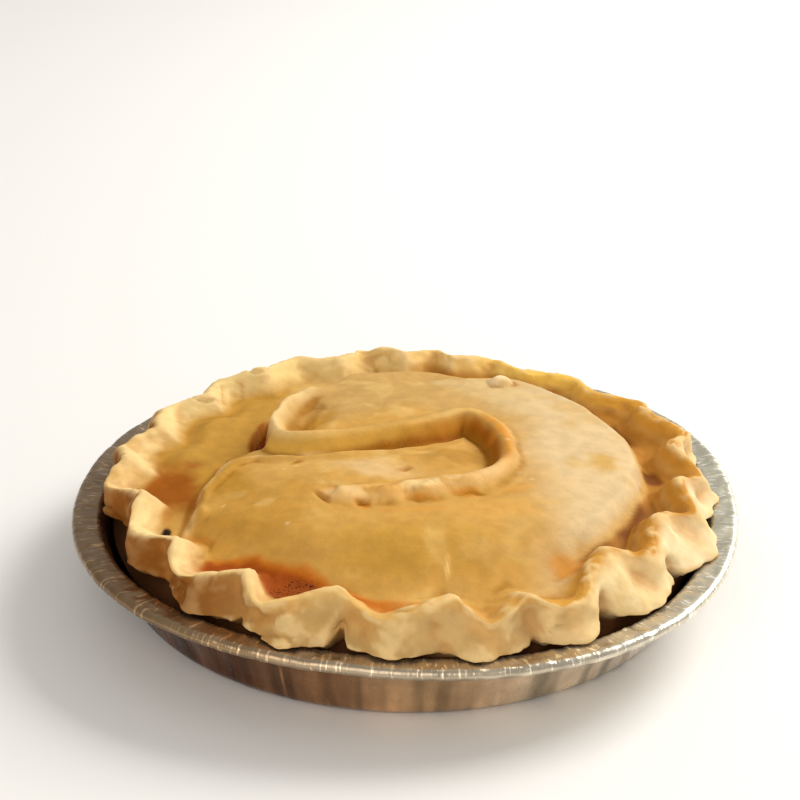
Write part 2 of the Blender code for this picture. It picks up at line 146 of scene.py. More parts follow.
def crimp_wave(angle, crests, lean):
    """A wave round the rim: 1 at each crest angle, -1 somewhere between two. Lean 1 puts the low
    half-way, and less moves it towards the crest before. It is half cosine, half straight flanks,
    so that the crests are ridges."""
    x = np.concatenate([[crests[-1] - 360], crests, [crests[0] + 360]])
    i = np.clip(np.searchsorted(x, angle, side="right") - 1, 0, len(x) - 2)
    phase = ((angle - x[i]) / (x[i + 1] - x[i])) ** lean
    return 0.5 * np.cos(2 * np.pi * phase) + 0.5 * (1 - 4 * np.minimum(phase, 1 - phase))


def spline(points, per_span):
    """A smooth curve through the points (Catmull-Rom), with that many pieces to each span."""
    p = np.array(points, float)
    p = np.vstack([2 * p[0] - p[1], p, 2 * p[-1] - p[-2]])
    a, b, c, d = (p[k : len(p) - 3 + k, None, :] for k in range(4))
    t = np.linspace(0, 1, per_span, endpoint=False)[None, :, None]
    curve = 2 * b + (c - a) * t + (2 * a - 5 * b + 4 * c - d) * t**2 + (3 * b - a - 3 * c + d) * t**3
    return np.vstack([0.5 * curve.reshape(-1, p.shape[1]), p[-2]])


def beside(x, y, path):
    """For each point: its distance to a path, positive on the path's right side and negative on its
    left, and the share of the path's length at the nearest place. Beyond its ends the path counts
    as going straight on."""
    best = np.full(np.shape(x), np.inf)
    side = np.ones(np.shape(x))
    along = np.zeros(np.shape(x))
    steps = np.hypot(*np.diff(path, axis=0).T)
    start = np.concatenate([[0], np.cumsum(steps)])
    last = len(steps) - 1
    for i, (a, b) in enumerate(zip(path[:-1], path[1:])):
        run = b - a
        share = ((x - a[0]) * run[0] + (y - a[1]) * run[1]) / (run @ run)
        share = np.clip(share, 0 if i else -np.inf, np.inf if i == last else 1)
        away = np.hypot(x - a[0] - share * run[0], y - a[1] - share * run[1])
        nearer = away < best
        best = np.where(nearer, away, best)
        side = np.where(nearer, np.where(run[0] * (y - a[1]) > run[1] * (x - a[0]), -1.0, 1.0), side)
        along = np.where(nearer, (start[i] + share * steps[i]) / start[-1], along)
    return best * side, np.clip(along, 0, 1)


# %% Colours


def shade(red, green, blue):
    """A colour given as it looks on a screen, 0 to 255, in linear light."""
    s = np.array([red, green, blue]) / 255
    return np.where(s <= 0.04045, s / 12.92, ((s + 0.055) / 1.055) ** 2.4)


def lay(tone, layers):
    """Lays colours over the tones one after the other. Each layer is a screen colour and its share
    for each point."""
    for colour, share in layers:
        tone = tone + (shade(*colour) - tone) * np.clip(share, 0, 1)[..., None]
    return tone


def tones_around(angle, table):
    """A colour for each angle from rows of (angle, red, green, blue)."""
    stations, *channels = np.array(table).T
    return np.stack([around(angle, stations, channel) for channel in shade(*channels)], axis=-1)


# %% [markdown]
# ## Noise
# Dough stretches, sags and bakes unevenly, so every form gets some noise, and so does every colour.
# Blender has noise textures, but a displacement made from them can't be measured or kept inside a
# box. Here the random numbers come from stirring the bits of a cell's indices, so each run gives
# the same pie.

# %% Noise


def lattice(cells, seed):
    """A fixed random number from -1 to 1 for each whole-numbered cell: mix its three indices and
    stir the bits."""
    h = cells[..., 0] * np.uint32(374761393) + cells[..., 1] * np.uint32(668265263)
    h = h + cells[..., 2] * np.uint32(2246822519) + np.uint32(seed * 3266489917 % 4294967296)
    h = (h ^ (h >> np.uint32(15))) * np.uint32(2654435761)
    h = (h ^ (h >> np.uint32(13))) * np.uint32(1274126177)
    h = h ^ (h >> np.uint32(16))
    return h.astype(float) / 2147483647.5 - 1


def noise(points, size, seed):
    """Smooth random field: lattice values at the corners of cells of that size, blended by smooth
    steps."""
    scaled = np.asarray(points, float) / size + 1000
    cell = np.floor(scaled)
    t = scaled - cell
    t = t * t * (3 - 2 * t)
    cell = cell.astype(np.uint32)
    total = np.zeros(scaled.shape[:-1])
    for corner in np.ndindex(2, 2, 2):
        weight = np.prod(np.where(np.array(corner) == 1, t, 1 - t), axis=-1)
        total += weight * lattice(cell + np.array(corner, np.uint32), seed)
    return total


def rough(points, size, seed, octaves=3):
    """Several layers of noise, each at half the size and half the strength of the one before."""
    return sum(0.5**k * noise(points, size / 2**k, seed + 17 * k) for k in range(octaves))


# %% [markdown]
# ## Meshes from grids
# The pastry, the foil and the filling all go round the pie's middle, so each is a grid: rows from
# the middle outwards and columns round the pie. A turned profile with a Screw modifier would give
# the same faces, but a grid of points can be changed with one formula for all of them before there
# is a mesh.

# %% Meshes from grids


def add_values(mesh, values):
    """Stores one number or one colour for each point of a mesh, under the name that its material
    asks for."""
    for label, data in values.items():
        kind, key = "FLOAT", "value"
        if data.ndim == 2:
            kind, key = "FLOAT_COLOR", "color"
            data = np.hstack([data, np.ones((len(data), 1))])
        entries = mesh.attributes.new(label, kind, "POINT").data
        entries.foreach_set(key, data.astype(np.float32).ravel())


def new_piece(name, points, faces, values=None):
    """An object with a smooth mesh from points in millimetres, with the named values on its
    points."""
    mesh = bpy.data.meshes.new(name)
    mesh.from_pydata(points * MM, [], faces)
    add_values(mesh, values or {})
    mesh.shade_smooth()
    piece = bpy.data.objects.new(name, mesh)
    bpy.context.scene.collection.objects.link(piece)
    return piece


def ring_faces(count, steps):
    """Four point numbers for each face between one ring and the next. They turn outwards for rings
    that go from the top outwards and down."""
    column = np.arange(steps)
    after = (column + 1) % steps
    row = np.arange(count - 1)[:, None] * steps
    quads = np.stack([row + column, row + steps + column, row + steps + after, row + after], axis=-1)
    return quads.reshape(-1, 4)


def fan(centre, first, steps):
    """Three point numbers for each face of a fan from a centre point to the ring whose first point
    is given."""
    column = np.arange(steps)
    return np.stack([np.full(steps, centre), first + column, first + (column + 1) % steps], axis=-1)


def ring_mesh(name, rings, values=None):
    """A closed skin from rings of points: each ring is joined to the next, and the two end rings
    close on a centre point of their own. rings has the shape (rings, points in a ring, 3), in
    millimetres."""
    count, steps = rings.shape[:2]

    def with_ends(data):
        """The grid's data as a list, and after it the mean of the first and of the last ring for
        the centre points."""
        ends = np.stack([data[0].mean(axis=0), data[-1].mean(axis=0)]).reshape(2, -1)
        return np.vstack([data.reshape(count * steps, -1), ends])

    quads = ring_faces(count, steps)
    cap = fan(count * steps, 0, steps)
    foot = fan(count * steps + 1, (count - 1) * steps, steps)[:, [0, 2, 1]]
    values = {label: with_ends(data).squeeze() for label, data in (values or {}).items()}
    faces = [*quads.tolist(), *cap.tolist(), *foot.tolist()]
    piece = new_piece(name, with_ends(rings), faces, values)
    print(name, "has", 2 * len(quads) + 2 * steps, "triangles")
    return piece


def polar(radius, angle, height):
    """Points from radius, angle in degrees and height."""
    turn = np.radians(angle)
    return np.stack([radius * np.cos(turn), radius * np.sin(turn), height * np.ones_like(turn)], axis=-1)


# %% [markdown]
# ## The pan's shape
# A foil pan is pressed from a flat disc, so its edge is rolled over into a bead and its wall takes
# up the spare metal in creases. It could be a turned profile with a noise texture for the creases,
# but foil shows its creases most in reflections, so they are cut into the mesh. The soft rim has
# also been pushed out of round by handling.

# %% Pan sizes
PAN_RADIUS = 111.0
PAN_HEIGHT = 26.5
BEAD_RADIUS = 1.6
FLANGE_INNER_RADIUS = 102.6
FLANGE_DROP = 0.7
WALL_TOP_RADIUS = 101.4
WALL_FOOT_RADIUS = 94.0
FOOT_RADIUS = 5.0
FOIL = 0.4
RIM_OUT_OF_ROUND = 1.8
RIM_CORNER_ANGLE = 40.0
RIM_TWIST = 1.6
RIM_TWIST_ANGLE = 27.0
PAN_STEPS = 880
PROFILE_SPACING = 1.1
CREASE_DEPTH = 0.42
DENT_DEPTH = 0.5
WRINKLE_HEIGHT = 0.42
# A spot of burnt juice on the wall: angle and height.
WALL_SPOT = (298.5, 17.5)
# The painted reflection on the wall and on the flange round the pan, as (angle, red, green, blue): dark
# brown at the left and the front, pale at the right.
WALL_REFLECTIONS = (
    (0, 215, 205, 190), (60, 190, 175, 155), (130, 130, 100, 75), (200, 92, 56, 34),
    (235, 104, 66, 42), (255, 166, 124, 88), (275, 214, 178, 136), (300, 248, 228, 200),
    (330, 245, 236, 224),
)
FLANGE_REFLECTIONS = (
    (0, 232, 228, 205), (60, 225, 218, 200), (130, 170, 150, 125), (185, 150, 124, 94),
    (215, 142, 114, 82), (240, 166, 138, 104), (270, 196, 178, 152), (310, 236, 226, 204),
)


def out_of_round(radius, angle, height):
    """Four shallow corners pushed outwards and a twist in height, both fading to nothing at the
    flat base."""
    share = smooth(height, 4, PAN_HEIGHT) * smooth(radius, 60, 95)
    corners = np.cos(np.radians(4 * (angle - RIM_CORNER_ANGLE)))
    twist = np.cos(np.radians(2 * (angle - RIM_TWIST_ANGLE)))
    return radius + RIM_OUT_OF_ROUND * share * corners, height + RIM_TWIST * share * twist


def wall_radius(height):
    """The straight slope of the wall."""
    share = (height - FOOT_RADIUS) / (PAN_HEIGHT - FLANGE_DROP - FOOT_RADIUS)
    return WALL_FOOT_RADIUS + (WALL_TOP_RADIUS - WALL_FOOT_RADIUS) * share


def arc(centre, radius, start, end, segments):
    """Points of an arc in the profile plane, angles in degrees."""
    turn = np.radians(np.linspace(start, end, segments + 1))
    return np.stack([centre[0] + radius * np.cos(turn), centre[1] + radius * np.sin(turn)], axis=1)


def even(profile, spacing):
    """The same profile with points added so that none are further apart than the spacing."""
    out = [profile[:1]]
    for a, b in zip(profile[:-1], profile[1:]):
        count = max(1, int(np.ceil(np.hypot(*(b - a)) / spacing)))
        out.append(a + (b - a) * np.linspace(0, 1, count + 1)[1:, None])
    return np.vstack(out)


# %% Pan surface


def pan_skin():
    """The middle of the foil as a grid: profile points down the rows, angle along the columns.
    Creases are random waves round the wall, steep on one side; the flange has short radial wrinkles
    that die out at the bead."""
    bead_centre = (PAN_RADIUS - BEAD_RADIUS, PAN_HEIGHT - BEAD_RADIUS)
    foot_centre = (WALL_FOOT_RADIUS - FOOT_RADIUS, FOOT_RADIUS + FOIL / 2)
    bead = arc(bead_centre, BEAD_RADIUS, -200, 90, 14)
    flange = np.array([[FLANGE_INNER_RADIUS, PAN_HEIGHT - FLANGE_DROP]])
    shoulder = np.array([[WALL_TOP_RADIUS, PAN_HEIGHT - FLANGE_DROP - 1.4]])
    foot = arc(foot_centre, FOOT_RADIUS, -15, -90, 8)
    base = np.array([[60.0, FOIL / 2], [30.0, FOIL / 2], [8.0, FOIL / 2]])
    profile = even(np.vstack([bead, flange, shoulder, foot]), PROFILE_SPACING)
    profile = np.vstack([profile, base])
    angle = np.arange(PAN_STEPS) * 360 / PAN_STEPS
    radius = np.repeat(profile[:, :1], PAN_STEPS, axis=1)
    height = np.repeat(profile[:, 1:], PAN_STEPS, axis=1)
    angle = np.broadcast_to(angle, radius.shape)
    wall = between(height, 3, 8, 22.5, 25) * (radius < FLANGE_INNER_RADIUS)
    where = np.stack([np.cos(np.radians(angle)), np.sin(np.radians(angle)), height / 90], axis=-1)
    crease = rough(where * [100, 100, 14], 6.0, 3, octaves=2)
    crease = np.abs(crease) ** 0.8 * np.sign(crease)
    dents = rough(where * [100, 100, 60], 38.0, 9, octaves=2)
    radius = radius + wall * (CREASE_DEPTH * crease + DENT_DEPTH * dents)
    flange = between(radius, WALL_TOP_RADIUS, WALL_TOP_RADIUS + 1.5, 106.5, 108.2)
    flange = flange * (height > PAN_HEIGHT - 2)
    wrinkle = rough(where * [100, 100, 0], 1.9, 5, octaves=2) * (0.6 + 0.4 * noise(where * 100, 12, 8))
    height = height + WRINKLE_HEIGHT * flange * wrinkle
    rim = smooth(radius, 106, 108)
    height = height + rim * 0.22 * rough(where * [100, 100, 0], 9.0, 21, octaves=2)
    height = height + rim * 0.16 * noise(where * [100, 100, 0], 2.2, 23)
    radius, height = out_of_round(radius, angle, height)
    return polar(radius, angle, height)


def pan_tones(skin):
    """The foil's tint, which is painted reflection: dark brown at the left and the front and pale at the
    right, set by angle. Painted reflection streaks and glints run up the wall, and each is a noise that
    changes fast round the pan and slowly upwards. The spot is burnt juice. The second result is 1 on the
    flange and the bead and 0 on the wall."""
    x, y, z = np.moveaxis(skin, -1, 0)
    radius = np.hypot(x, y)
    angle = np.degrees(np.arctan2(y, x)) % 360
    wall = tones_around(angle, WALL_REFLECTIONS)
    rim = tones_around(angle, FLANGE_REFLECTIONS)
    on_wall = smooth(PAN_HEIGHT - z, 2.2, 4)
    tone = rim + (wall - rim) * (on_wall * (1 - smooth(radius, 101.5, 103)))[..., None]
    turn = np.stack([x / radius * 100, y / radius * 100, z * 0.12], axis=-1)
    # Painted reflection: soft streaky panels and thin bright glints up the wall.
    reflection_panels = np.tanh(5 * noise(turn, 9.0, 31)) + 0.7 * np.tanh(6 * noise(turn, 4.0, 32))
    reflection_panels = reflection_panels + 0.4 * rough(turn, 2.0, 33)
    glint = smooth(0.05 - np.abs(noise(turn, 7.0, 34)), 0, 0.05)
    glint = glint * smooth(noise(turn, 11.0, 35), 0.05, 0.4)
    strength = 1 + on_wall * (0.26 * reflection_panels + 1.3 * glint)
    tone = tone * strength[..., None]
    tone = tone / np.maximum(1, tone.max(axis=-1, keepdims=True) / 0.95)
    spot = 1 - smooth(np.abs(angle - WALL_SPOT[0]), 0.5, 1.3)
    spot = spot * (1 - smooth(np.abs(z - WALL_SPOT[1]), 0.8, 2.4))
    return lay(tone, [((190, 80, 30), 0.9 * spot)]), 1 - on_wall


def make_pan():
    """The middle of the foil as an open mesh with its base closed, made a sheet by a Solidify
    modifier."""
    skin = pan_skin()
    count, steps = skin.shape[:2]
    quads = ring_faces(count, steps)[:, [0, 3, 2, 1]]
    cap = fan(count * steps, (count - 1) * steps, steps)
    tones, flat = pan_tones(skin)
    values = {
        "tone": np.vstack([tones.reshape(-1, 3), tones[-1].mean(axis=0)]),
        "flat": np.append(flat.ravel(), flat[-1].mean()),
    }
    points = np.vstack([skin.reshape(-1, 3), [[0, 0, FOIL / 2]]])
    pan = new_piece("foil_pan", points, [*quads.tolist(), *cap.tolist()], values)
    sheet = pan.modifiers.new("Foil", "SOLIDIFY")
    sheet.thickness = FOIL * MM
    sheet.offset = 0
    print("foil_pan has", 4 * len(quads) + 2 * len(cap) + 2 * steps, "triangles with the sheet's edge")
    return pan


pan = make_pan()
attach(pan, "root")
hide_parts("pan")

# %% [markdown]
# ## The filling
# Only a slot of it shows, down the open end of the cut. On the real pie it is a wet, dark fruit
# filling that boiled up there. It gets the whole form of the filling all the same, a flat mound
# with lumps, so that the slot can look into it.

# %% Filling surface
FILLING_SECTION = (
    (4, 36.0), (30, 35.4), (45, 33.5), (55, 31.0), (65, 28.5), (72, 27.2), (77, 24.0), (80, 16),
    (78, 5),
)
FILLING_STEPS = 300


def make_filling():
    """The mound's section turned round, with rounded lumps: the absolute value of noise, which has
    soft tops."""
    section = spline(FILLING_SECTION, 7)
    angle = np.arange(FILLING_STEPS) * 360 / FILLING_STEPS
    points = polar(section[:, :1] + 0 * angle, angle + 0 * section[:, :1], section[:, 1:])
    lumps = 1.2 * np.abs(noise(points, 5.0, 91)) + 0.6 * np.abs(noise(points, 2.4, 92))
    points[..., 2] += (0.6 - lumps) * smooth(points[..., 2], 16, 26)
    return ring_mesh("fruit_filling", points)


filling = make_filling()
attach(filling, "root")
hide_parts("filling")

# %% [markdown]
# ## The lid
# The lid is a low dome with three things done to it: it drops to a trough inside the crimped edge,
# its left side has sunk, and the steam cut has opened. A height for each place seen from above is
# enough for all of that, as nothing on a lid hangs over. Sculpting would also work, but a formula
# keeps each feature where it is named.

# %% Lid sizes
LID_TOP = 45.5
LID_SAG = 3.2
TROUGH_HEIGHT = 33.4
SUNK_HEIGHT = 34.6
# Where the lid drops to the trough, as (angle, radius of the drop's foot, width of the drop).
LID_EDGE = (
    (0, 81, 7), (14, 79.5, 7), (45, 78.5, 8), (62, 79, 8), (80, 82, 9), (104, 79, 12), (118, 66, 7),
    (135, 60, 4), (152, 55, 3), (167, 50, 2.5), (174, 56, 2.5), (180, 62.5, 3), (190, 66.5, 3.5),
    (200, 73, 5), (210, 80, 9), (222, 83, 18), (262, 84, 27), (300, 84, 22), (330, 81.5, 10),
)
# The steam cut seen from above: an S from its top end, round the left lobe, to its bottom end.
CUT_PATH = (
    (-23, 51), (-36, 48), (-45, 39), (-48.5, 26), (-47.5, 13), (-42, 5), (-33, 2.2), (-23, 4.5),
    (-11, 10), (3, 15.5), (13, 22), (20.3, 27.8), (27.2, 17), (30.5, 2), (28.6, -12), (19.6, -19.6),
    (6, -23.6), (-9, -27.4), (-22, -30.2), (-31, -32.6),
)
# Along the cut, by share of its length: how far the lip rises, how far the lid dips behind it, and
# how deep the low side lies.
LIP_RISE = (
    (0, 0), (0.06, 2.2), (0.28, 2.6), (0.4, 0.8), (0.52, 0.6), (0.62, 1.5), (0.75, 1.9),
    (0.93, 1.6), (1, 0),
)
LIP_DIP = (
    (0, 0), (0.1, 3.2), (0.25, 3.0), (0.34, 1.0), (0.45, 0.3), (0.7, 0.6), (0.78, 1.2), (0.93, 1.0),
    (1, 0),
)
CUT_DROP = (
    (0, 0), (0.1, 3), (0.27, 3.6), (0.38, 4.6), (0.48, 6.2), (0.6, 7.4), (0.7, 6.2), (0.8, 3.0),
    (0.9, 1.4), (1, 0),
)
# Half-width of the lip: a rope round the left lobe, a broad roll along the bottom run.
LIP_RADIUS = (
    (0, 3.0), (0.1, 4.2), (0.26, 4.0), (0.42, 2.6), (0.7, 2.8), (0.8, 5.2), (0.92, 5.8), (1, 4.2),
)
WALL_WIDTH = 3.2
DROP_REACH = 20.0
GROOVE_DEPTH = 1.1
# The raised edge of the front flap.
FLAP_PATH = (
    (4, 7.5), (-9, 4), (-22, 0.5), (-35, -1), (-48, 1.2), (-56, 0.5), (-60.5, -5), (-64.5, -16),
    (-68, -26), (-68.5, -37), (-69.5, -47),
)
FLAP_RISE = 1.3
LEFT_SLOPE = 3.0
RIGHT_RISE = 2.0
RIGHT_RISE_ANGLE = 8
SLUMP_RISE = 2.6
# The open end of the cut, where the filling shows, and how deep the pit is there.
VENT_PATH = ((-40, 51), (-47, 42), (-50.4, 28), (-50.2, 14), (-45.5, 4.5))
VENT_DEPTH = 6.0
VENT_HALF_WIDTH = 2.2
# Small forms on the lid as (x, y, half width across, half width along, height): a knob of dough, a
# drip of glaze and the hollow in the left lobe, which slants.
KNOB = (32.5, 56, 4.2, 3.4, 2.9)
DRIP = (12.5, -69.5, 0.9, 5.5, 0.6)
BOWL = (-33, 22, 9.5, 17, -2.4)
BOWL_SLANT = 0.27
# Tears in the dough as (x, y, half length, turn, depth): at the ragged end of the cut, and two
# small ones on the flap.
TEARS = (
    (-26, -36, 6.5, -52, 1.0), (-23.4, -30.4, 4.5, -75, 0.6), (-14, -39.3, 3.2, -35, 1.2),
    (4, -35.6, 6, 0, 0.5), (20, -31.5, 7, 5, 0.6), (-0.7, -14.0, 3.2, 25, 0.9),
    (-36, -7.2, 2.2, 30, 0.7),
)


def along_cut(along, table):
    """Values given at shares of the cut's length, joined smoothly."""
    stations, values = np.array(table).T
    i = np.clip(np.searchsorted(stations, along, side="right") - 1, 0, len(stations) - 2)
    return mix(values[i], values[i + 1], smooth(along, stations[i], stations[i + 1]))


def spread_along(x, y, path, table):
    """The same, away from the cut: every stretch of the cut counts by its nearness, to the fourth
    power."""
    values = along_cut(np.linspace(0, 1, len(path)), table)
    total = np.zeros(np.shape(x))
    weights = np.zeros(np.shape(x))
    for (px, py), value in zip(path, values):
        weight = 1 / ((x - px) ** 2 + (y - py) ** 2 + 4) ** 2
        total += weight * value
        weights += weight
    return total / weights


def vent_share(x, y, spread):
    """1 in the open slot and 0 outside it. The slot is widest past the middle and its edge is
    torn."""
    off, along = beside(x, y, spline(VENT_PATH, 6))
    torn = 0.4 * noise(np.stack([x, y, 0 * x], axis=-1), 3, 54)
    half = VENT_HALF_WIDTH * np.sqrt(bump(along, 0.6, 0.4)) + torn - 0.4
    return (1 - smooth(np.abs(off), half + spread, half + spread + 0.9)) * smooth(half, 0.2, 0.8)


# %% Lid surface


def opened_lid(x, y, where):
    """Dome, minus the drop on the low side of the cut, plus the lip beside it, plus the flap's
    raised edge. The lip's bottom run is torn, so it also gets coarse noise."""
    path = spline(CUT_PATH, 8)
    wobble = 0.7 * np.stack([noise(where, 7, 41), noise(where, 7, 42)])
    off, along = beside(x + wobble[0], y + wobble[1], path)
    dome = LID_TOP - LID_SAG * (np.hypot(x, y) / 70) ** 2 + 0.7 * noise(where, 30, 4)
    dome = dome - LEFT_SLOPE * smooth(-x, 25, 72) * (1 - smooth(y, 5, 35))
    rope = along_cut(along, LIP_RADIUS)
    low_side = smooth(off, -0.5, WALL_WIDTH)
    near = 1 - smooth(off, 0, DROP_REACH)
    dip = along_cut(along, LIP_DIP) * bump(off, -2 * rope - 2.5, 7.5)
    lip = along_cut(along, LIP_RISE) * bump(off, -rope, 1.3 * rope)
    lip = lip * (1 + 0.18 * noise(where, 5, 44))
    height = dome - (1 - low_side) * dip + lip
    height = height - spread_along(x, y, path, CUT_DROP) * (0.45 + 0.55 * near) * low_side
    flap_off, flap_along = beside(x, y, spline(FLAP_PATH, 6))
    ragged = 0.9 * rough(where, 5, 57, octaves=2) * smooth(flap_along, 0.4, 0.5)
    edge = between(flap_along, 0, 0.2, 0.9, 1) * bump(flap_off + ragged, -2.2, 3.4)
    groove = between(along, 0.24, 0.34, 0.5, 0.56) * bump(off, WALL_WIDTH + 0.6, 2.2)
    roll = between(along, 0.76, 0.84, 0.97, 1) * bump(off, -rope, 1.5 * rope)
    height = height + FLAP_RISE * edge - GROOVE_DEPTH * groove
    height = height + roll * (1.1 * rough(where, 7, 45, octaves=4) - 0.1)
    bx, by, across, length, depth = BOWL
    bowl = bump(np.hypot((x - bx - BOWL_SLANT * (y - by)) / across, (y - by) / length), 0, 1)
    return height + depth * bowl * smooth(-off, 1.2 * rope, 2.2 * rope)


def small_forms(x, y, where):
    """What the knob and the drip add, minus the tears: each is a round hump on an oval, made ragged
    by noise."""
    kx, ky, across, length, rise = KNOB
    knob = bump(np.hypot((x - kx) / across, (y - ky) / length) + 0.2 * noise(where, 3, 55), 0, 1)
    added = rise * np.sqrt(knob)
    dx, dy, across, length, rise = DRIP
    drip = np.hypot((x - dx - 0.3 * noise(where, 4, 56)) / across, (y - dy) / length)
    added = added + rise * bump(drip, 0, 1)
    for px, py, long, turn, depth in TEARS:
        c, s = math.cos(math.radians(turn)), math.sin(math.radians(turn))
        u = ((x - px) * c + (y - py) * s) / long
        v = ((y - py) * c - (x - px) * s) / 1.5 + 0.9 * noise(where, 4, 46)
        added = added - depth * bump(np.hypot(u, v), 0, 1)
    return added


def lid_height(x, y):
    """The opened lid with its small forms, which runs down to the trough at the lid's edge. The
    trough lies higher where the left side has slumped against the edge and at the right."""
    radius = np.hypot(x, y)
    angle = np.degrees(np.arctan2(y, x)) % 360
    where = np.stack([x, y, 0 * x], axis=-1)
    height = opened_lid(x, y, where) + small_forms(x, y, where)
    stations, edges, widths = np.array(LID_EDGE).T
    edge = around(angle, stations, edges) + 1.0 * rough(where, 13, 51, octaves=2)
    width = around(angle, stations, widths)
    sunk = 1 - smooth(edge, 70, 79)
    low = TROUGH_HEIGHT + (SUNK_HEIGHT - TROUGH_HEIGHT) * sunk * (1 - smooth(radius, 62, 79))
    low = low + 0.5 * noise(where, 14, 52)
    slump = between(angle, 112, 130, 166, 184) * smooth(radius, 64, 82)
    low = low + slump * (SLUMP_RISE + 1.2 * noise(where, 13, 53))
    low = low + RIGHT_RISE * smooth(np.cos(np.radians(angle - RIGHT_RISE_ANGLE)), 0.3, 0.8)
    height = mix(low, height, smooth(edge - radius, 0, width))
    return height - VENT_DEPTH * vent_share(x, y, 0.0)


# %% [markdown]
# ## The crimped edge
# Dough is pinched between two fingers from inside while a thumb pushes from outside, and that
# leaves two kinds of section round the rim: the pinch, drawn in and up, and the lobe between two
# pinches, pushed out and down. Both are drawn once as profiles, and each angle gets a blend of the
# two. The thumb comes in slanting, so the pinches and the lobes have angles of their own.

# %% Crimp sizes
# Each pinch as (angle, radius of its tip, its height), and each lobe between two pinches as (angle,
# radius of its outer edge, height of the crest above it).
PINCHES = (
    (8, 89, 41.4), (24, 91, 41.5), (43, 88, 39.6), (62, 88, 39.8), (78, 88, 41.2), (93, 90, 41.6),
    (107, 89, 40.4), (126, 88, 41.2), (144, 88, 39.4), (163, 89, 39.4), (183, 92, 40.5),
    (200, 88, 41.0), (221, 92, 40.8), (240, 91, 40.6), (257, 88, 41.0), (279, 92, 40.2),
    (294, 95, 39.4), (313, 86, 41.2), (333, 87, 41.0), (351, 89, 41.2),
)
LOBES = (
    (16, 102, 38.2), (34, 102, 38.2), (52, 102, 38.2), (70, 101, 38.8), (85, 101, 39.6),
    (100, 101, 39.4), (116, 101, 39.2), (135, 100, 37.8), (153, 100, 37.0), (173, 100, 36.6),
    (190, 98.4, 36.8), (212, 101, 36.6), (232, 104, 36.2), (250, 106, 36.2), (268, 105, 36.0),
    (283, 107, 35.8), (300, 105, 36.2), (316, 105, 36.4), (339, 106, 36.6), (359, 103, 37.0),
)
# The two sections as (radius, height), from the trough over the crest and down the skirt into the
# pan. The skirt leans on the flange.
PINCH_SECTION = (
    (79.0, 33.6), (81.4, 35.4), (84.0, 38.8), (86.0, 40.9), (87.8, 41.4), (90.2, 40.2),
    (92.6, 36.8), (94.6, 33.2), (96.8, 30.0), (98.6, 27.8), (98.2, 26.6), (96.4, 25.6),
    (95.6, 23.6),
)
LOBE_SECTION = (
    (83.5, 33.2), (86.8, 33.6), (90.2, 34.9), (92.8, 36.5), (95.0, 37.0), (97.4, 36.2),
    (100.2, 33.8), (102.2, 30.8), (103.6, 28.4), (104.0, 27.0), (102.6, 26.2), (99.4, 26.1),
    (96.4, 24.6),
)
# The thumb drags the dough along, so a pinch falls away steeply on one side. 1 is even, less is
# steeper.
LEAN = ((20, 1.0), (90, 0.9), (150, 0.78), (240, 0.7), (285, 0.74), (315, 0.95))
PINCH_TIP = (87.8, 41.4)
LOBE_EDGE_RADIUS = 104.0
LOBE_CREST = 37.0
THUMB_HOLLOW = 2.8
THUMB_LAG = 5
# Where things sit on a section, by share of its length: the crest, the thumb's hollow and the
# skirt's hem.
CREST_SHARE = 0.34
THUMB_SHARE = 0.56
HEM_SHARE = 0.76
CRUST_STEPS = 560
LID_RINGS = 100
SECTION_PIECES = 5
FIT_GAP = 0.35
# How the lobes fall away on one side, like LEAN, and gaps in the skirt as (angle, half width,
# depth).
LOBE_LEAN = ((30, 1.0), (130, 1.0), (165, 0.8), (225, 0.84), (262, 0.95), (300, 1.05))
NOTCHES = (
    (258.6, 2.6, 6.5), (292.5, 2.0, 3.0), (307.5, 2.4, 4.0), (327.5, 2.2, 4.0), (241.0, 1.6, 2.0),
)
# The pastry below the skirt, from the pan's wall to the middle of its base: heights, and radii past
# the wall.
BASE_TOP = FOIL + FIT_GAP
UNDER_HEIGHTS = (20.0, 14.0, 7.0, 2.4, BASE_TOP, BASE_TOP, BASE_TOP)
UNDER_RADII = (88.0, 84.0, 50.0, 15.0)
WALL_CLEARANCE = 2.2

# %% Rim and rings


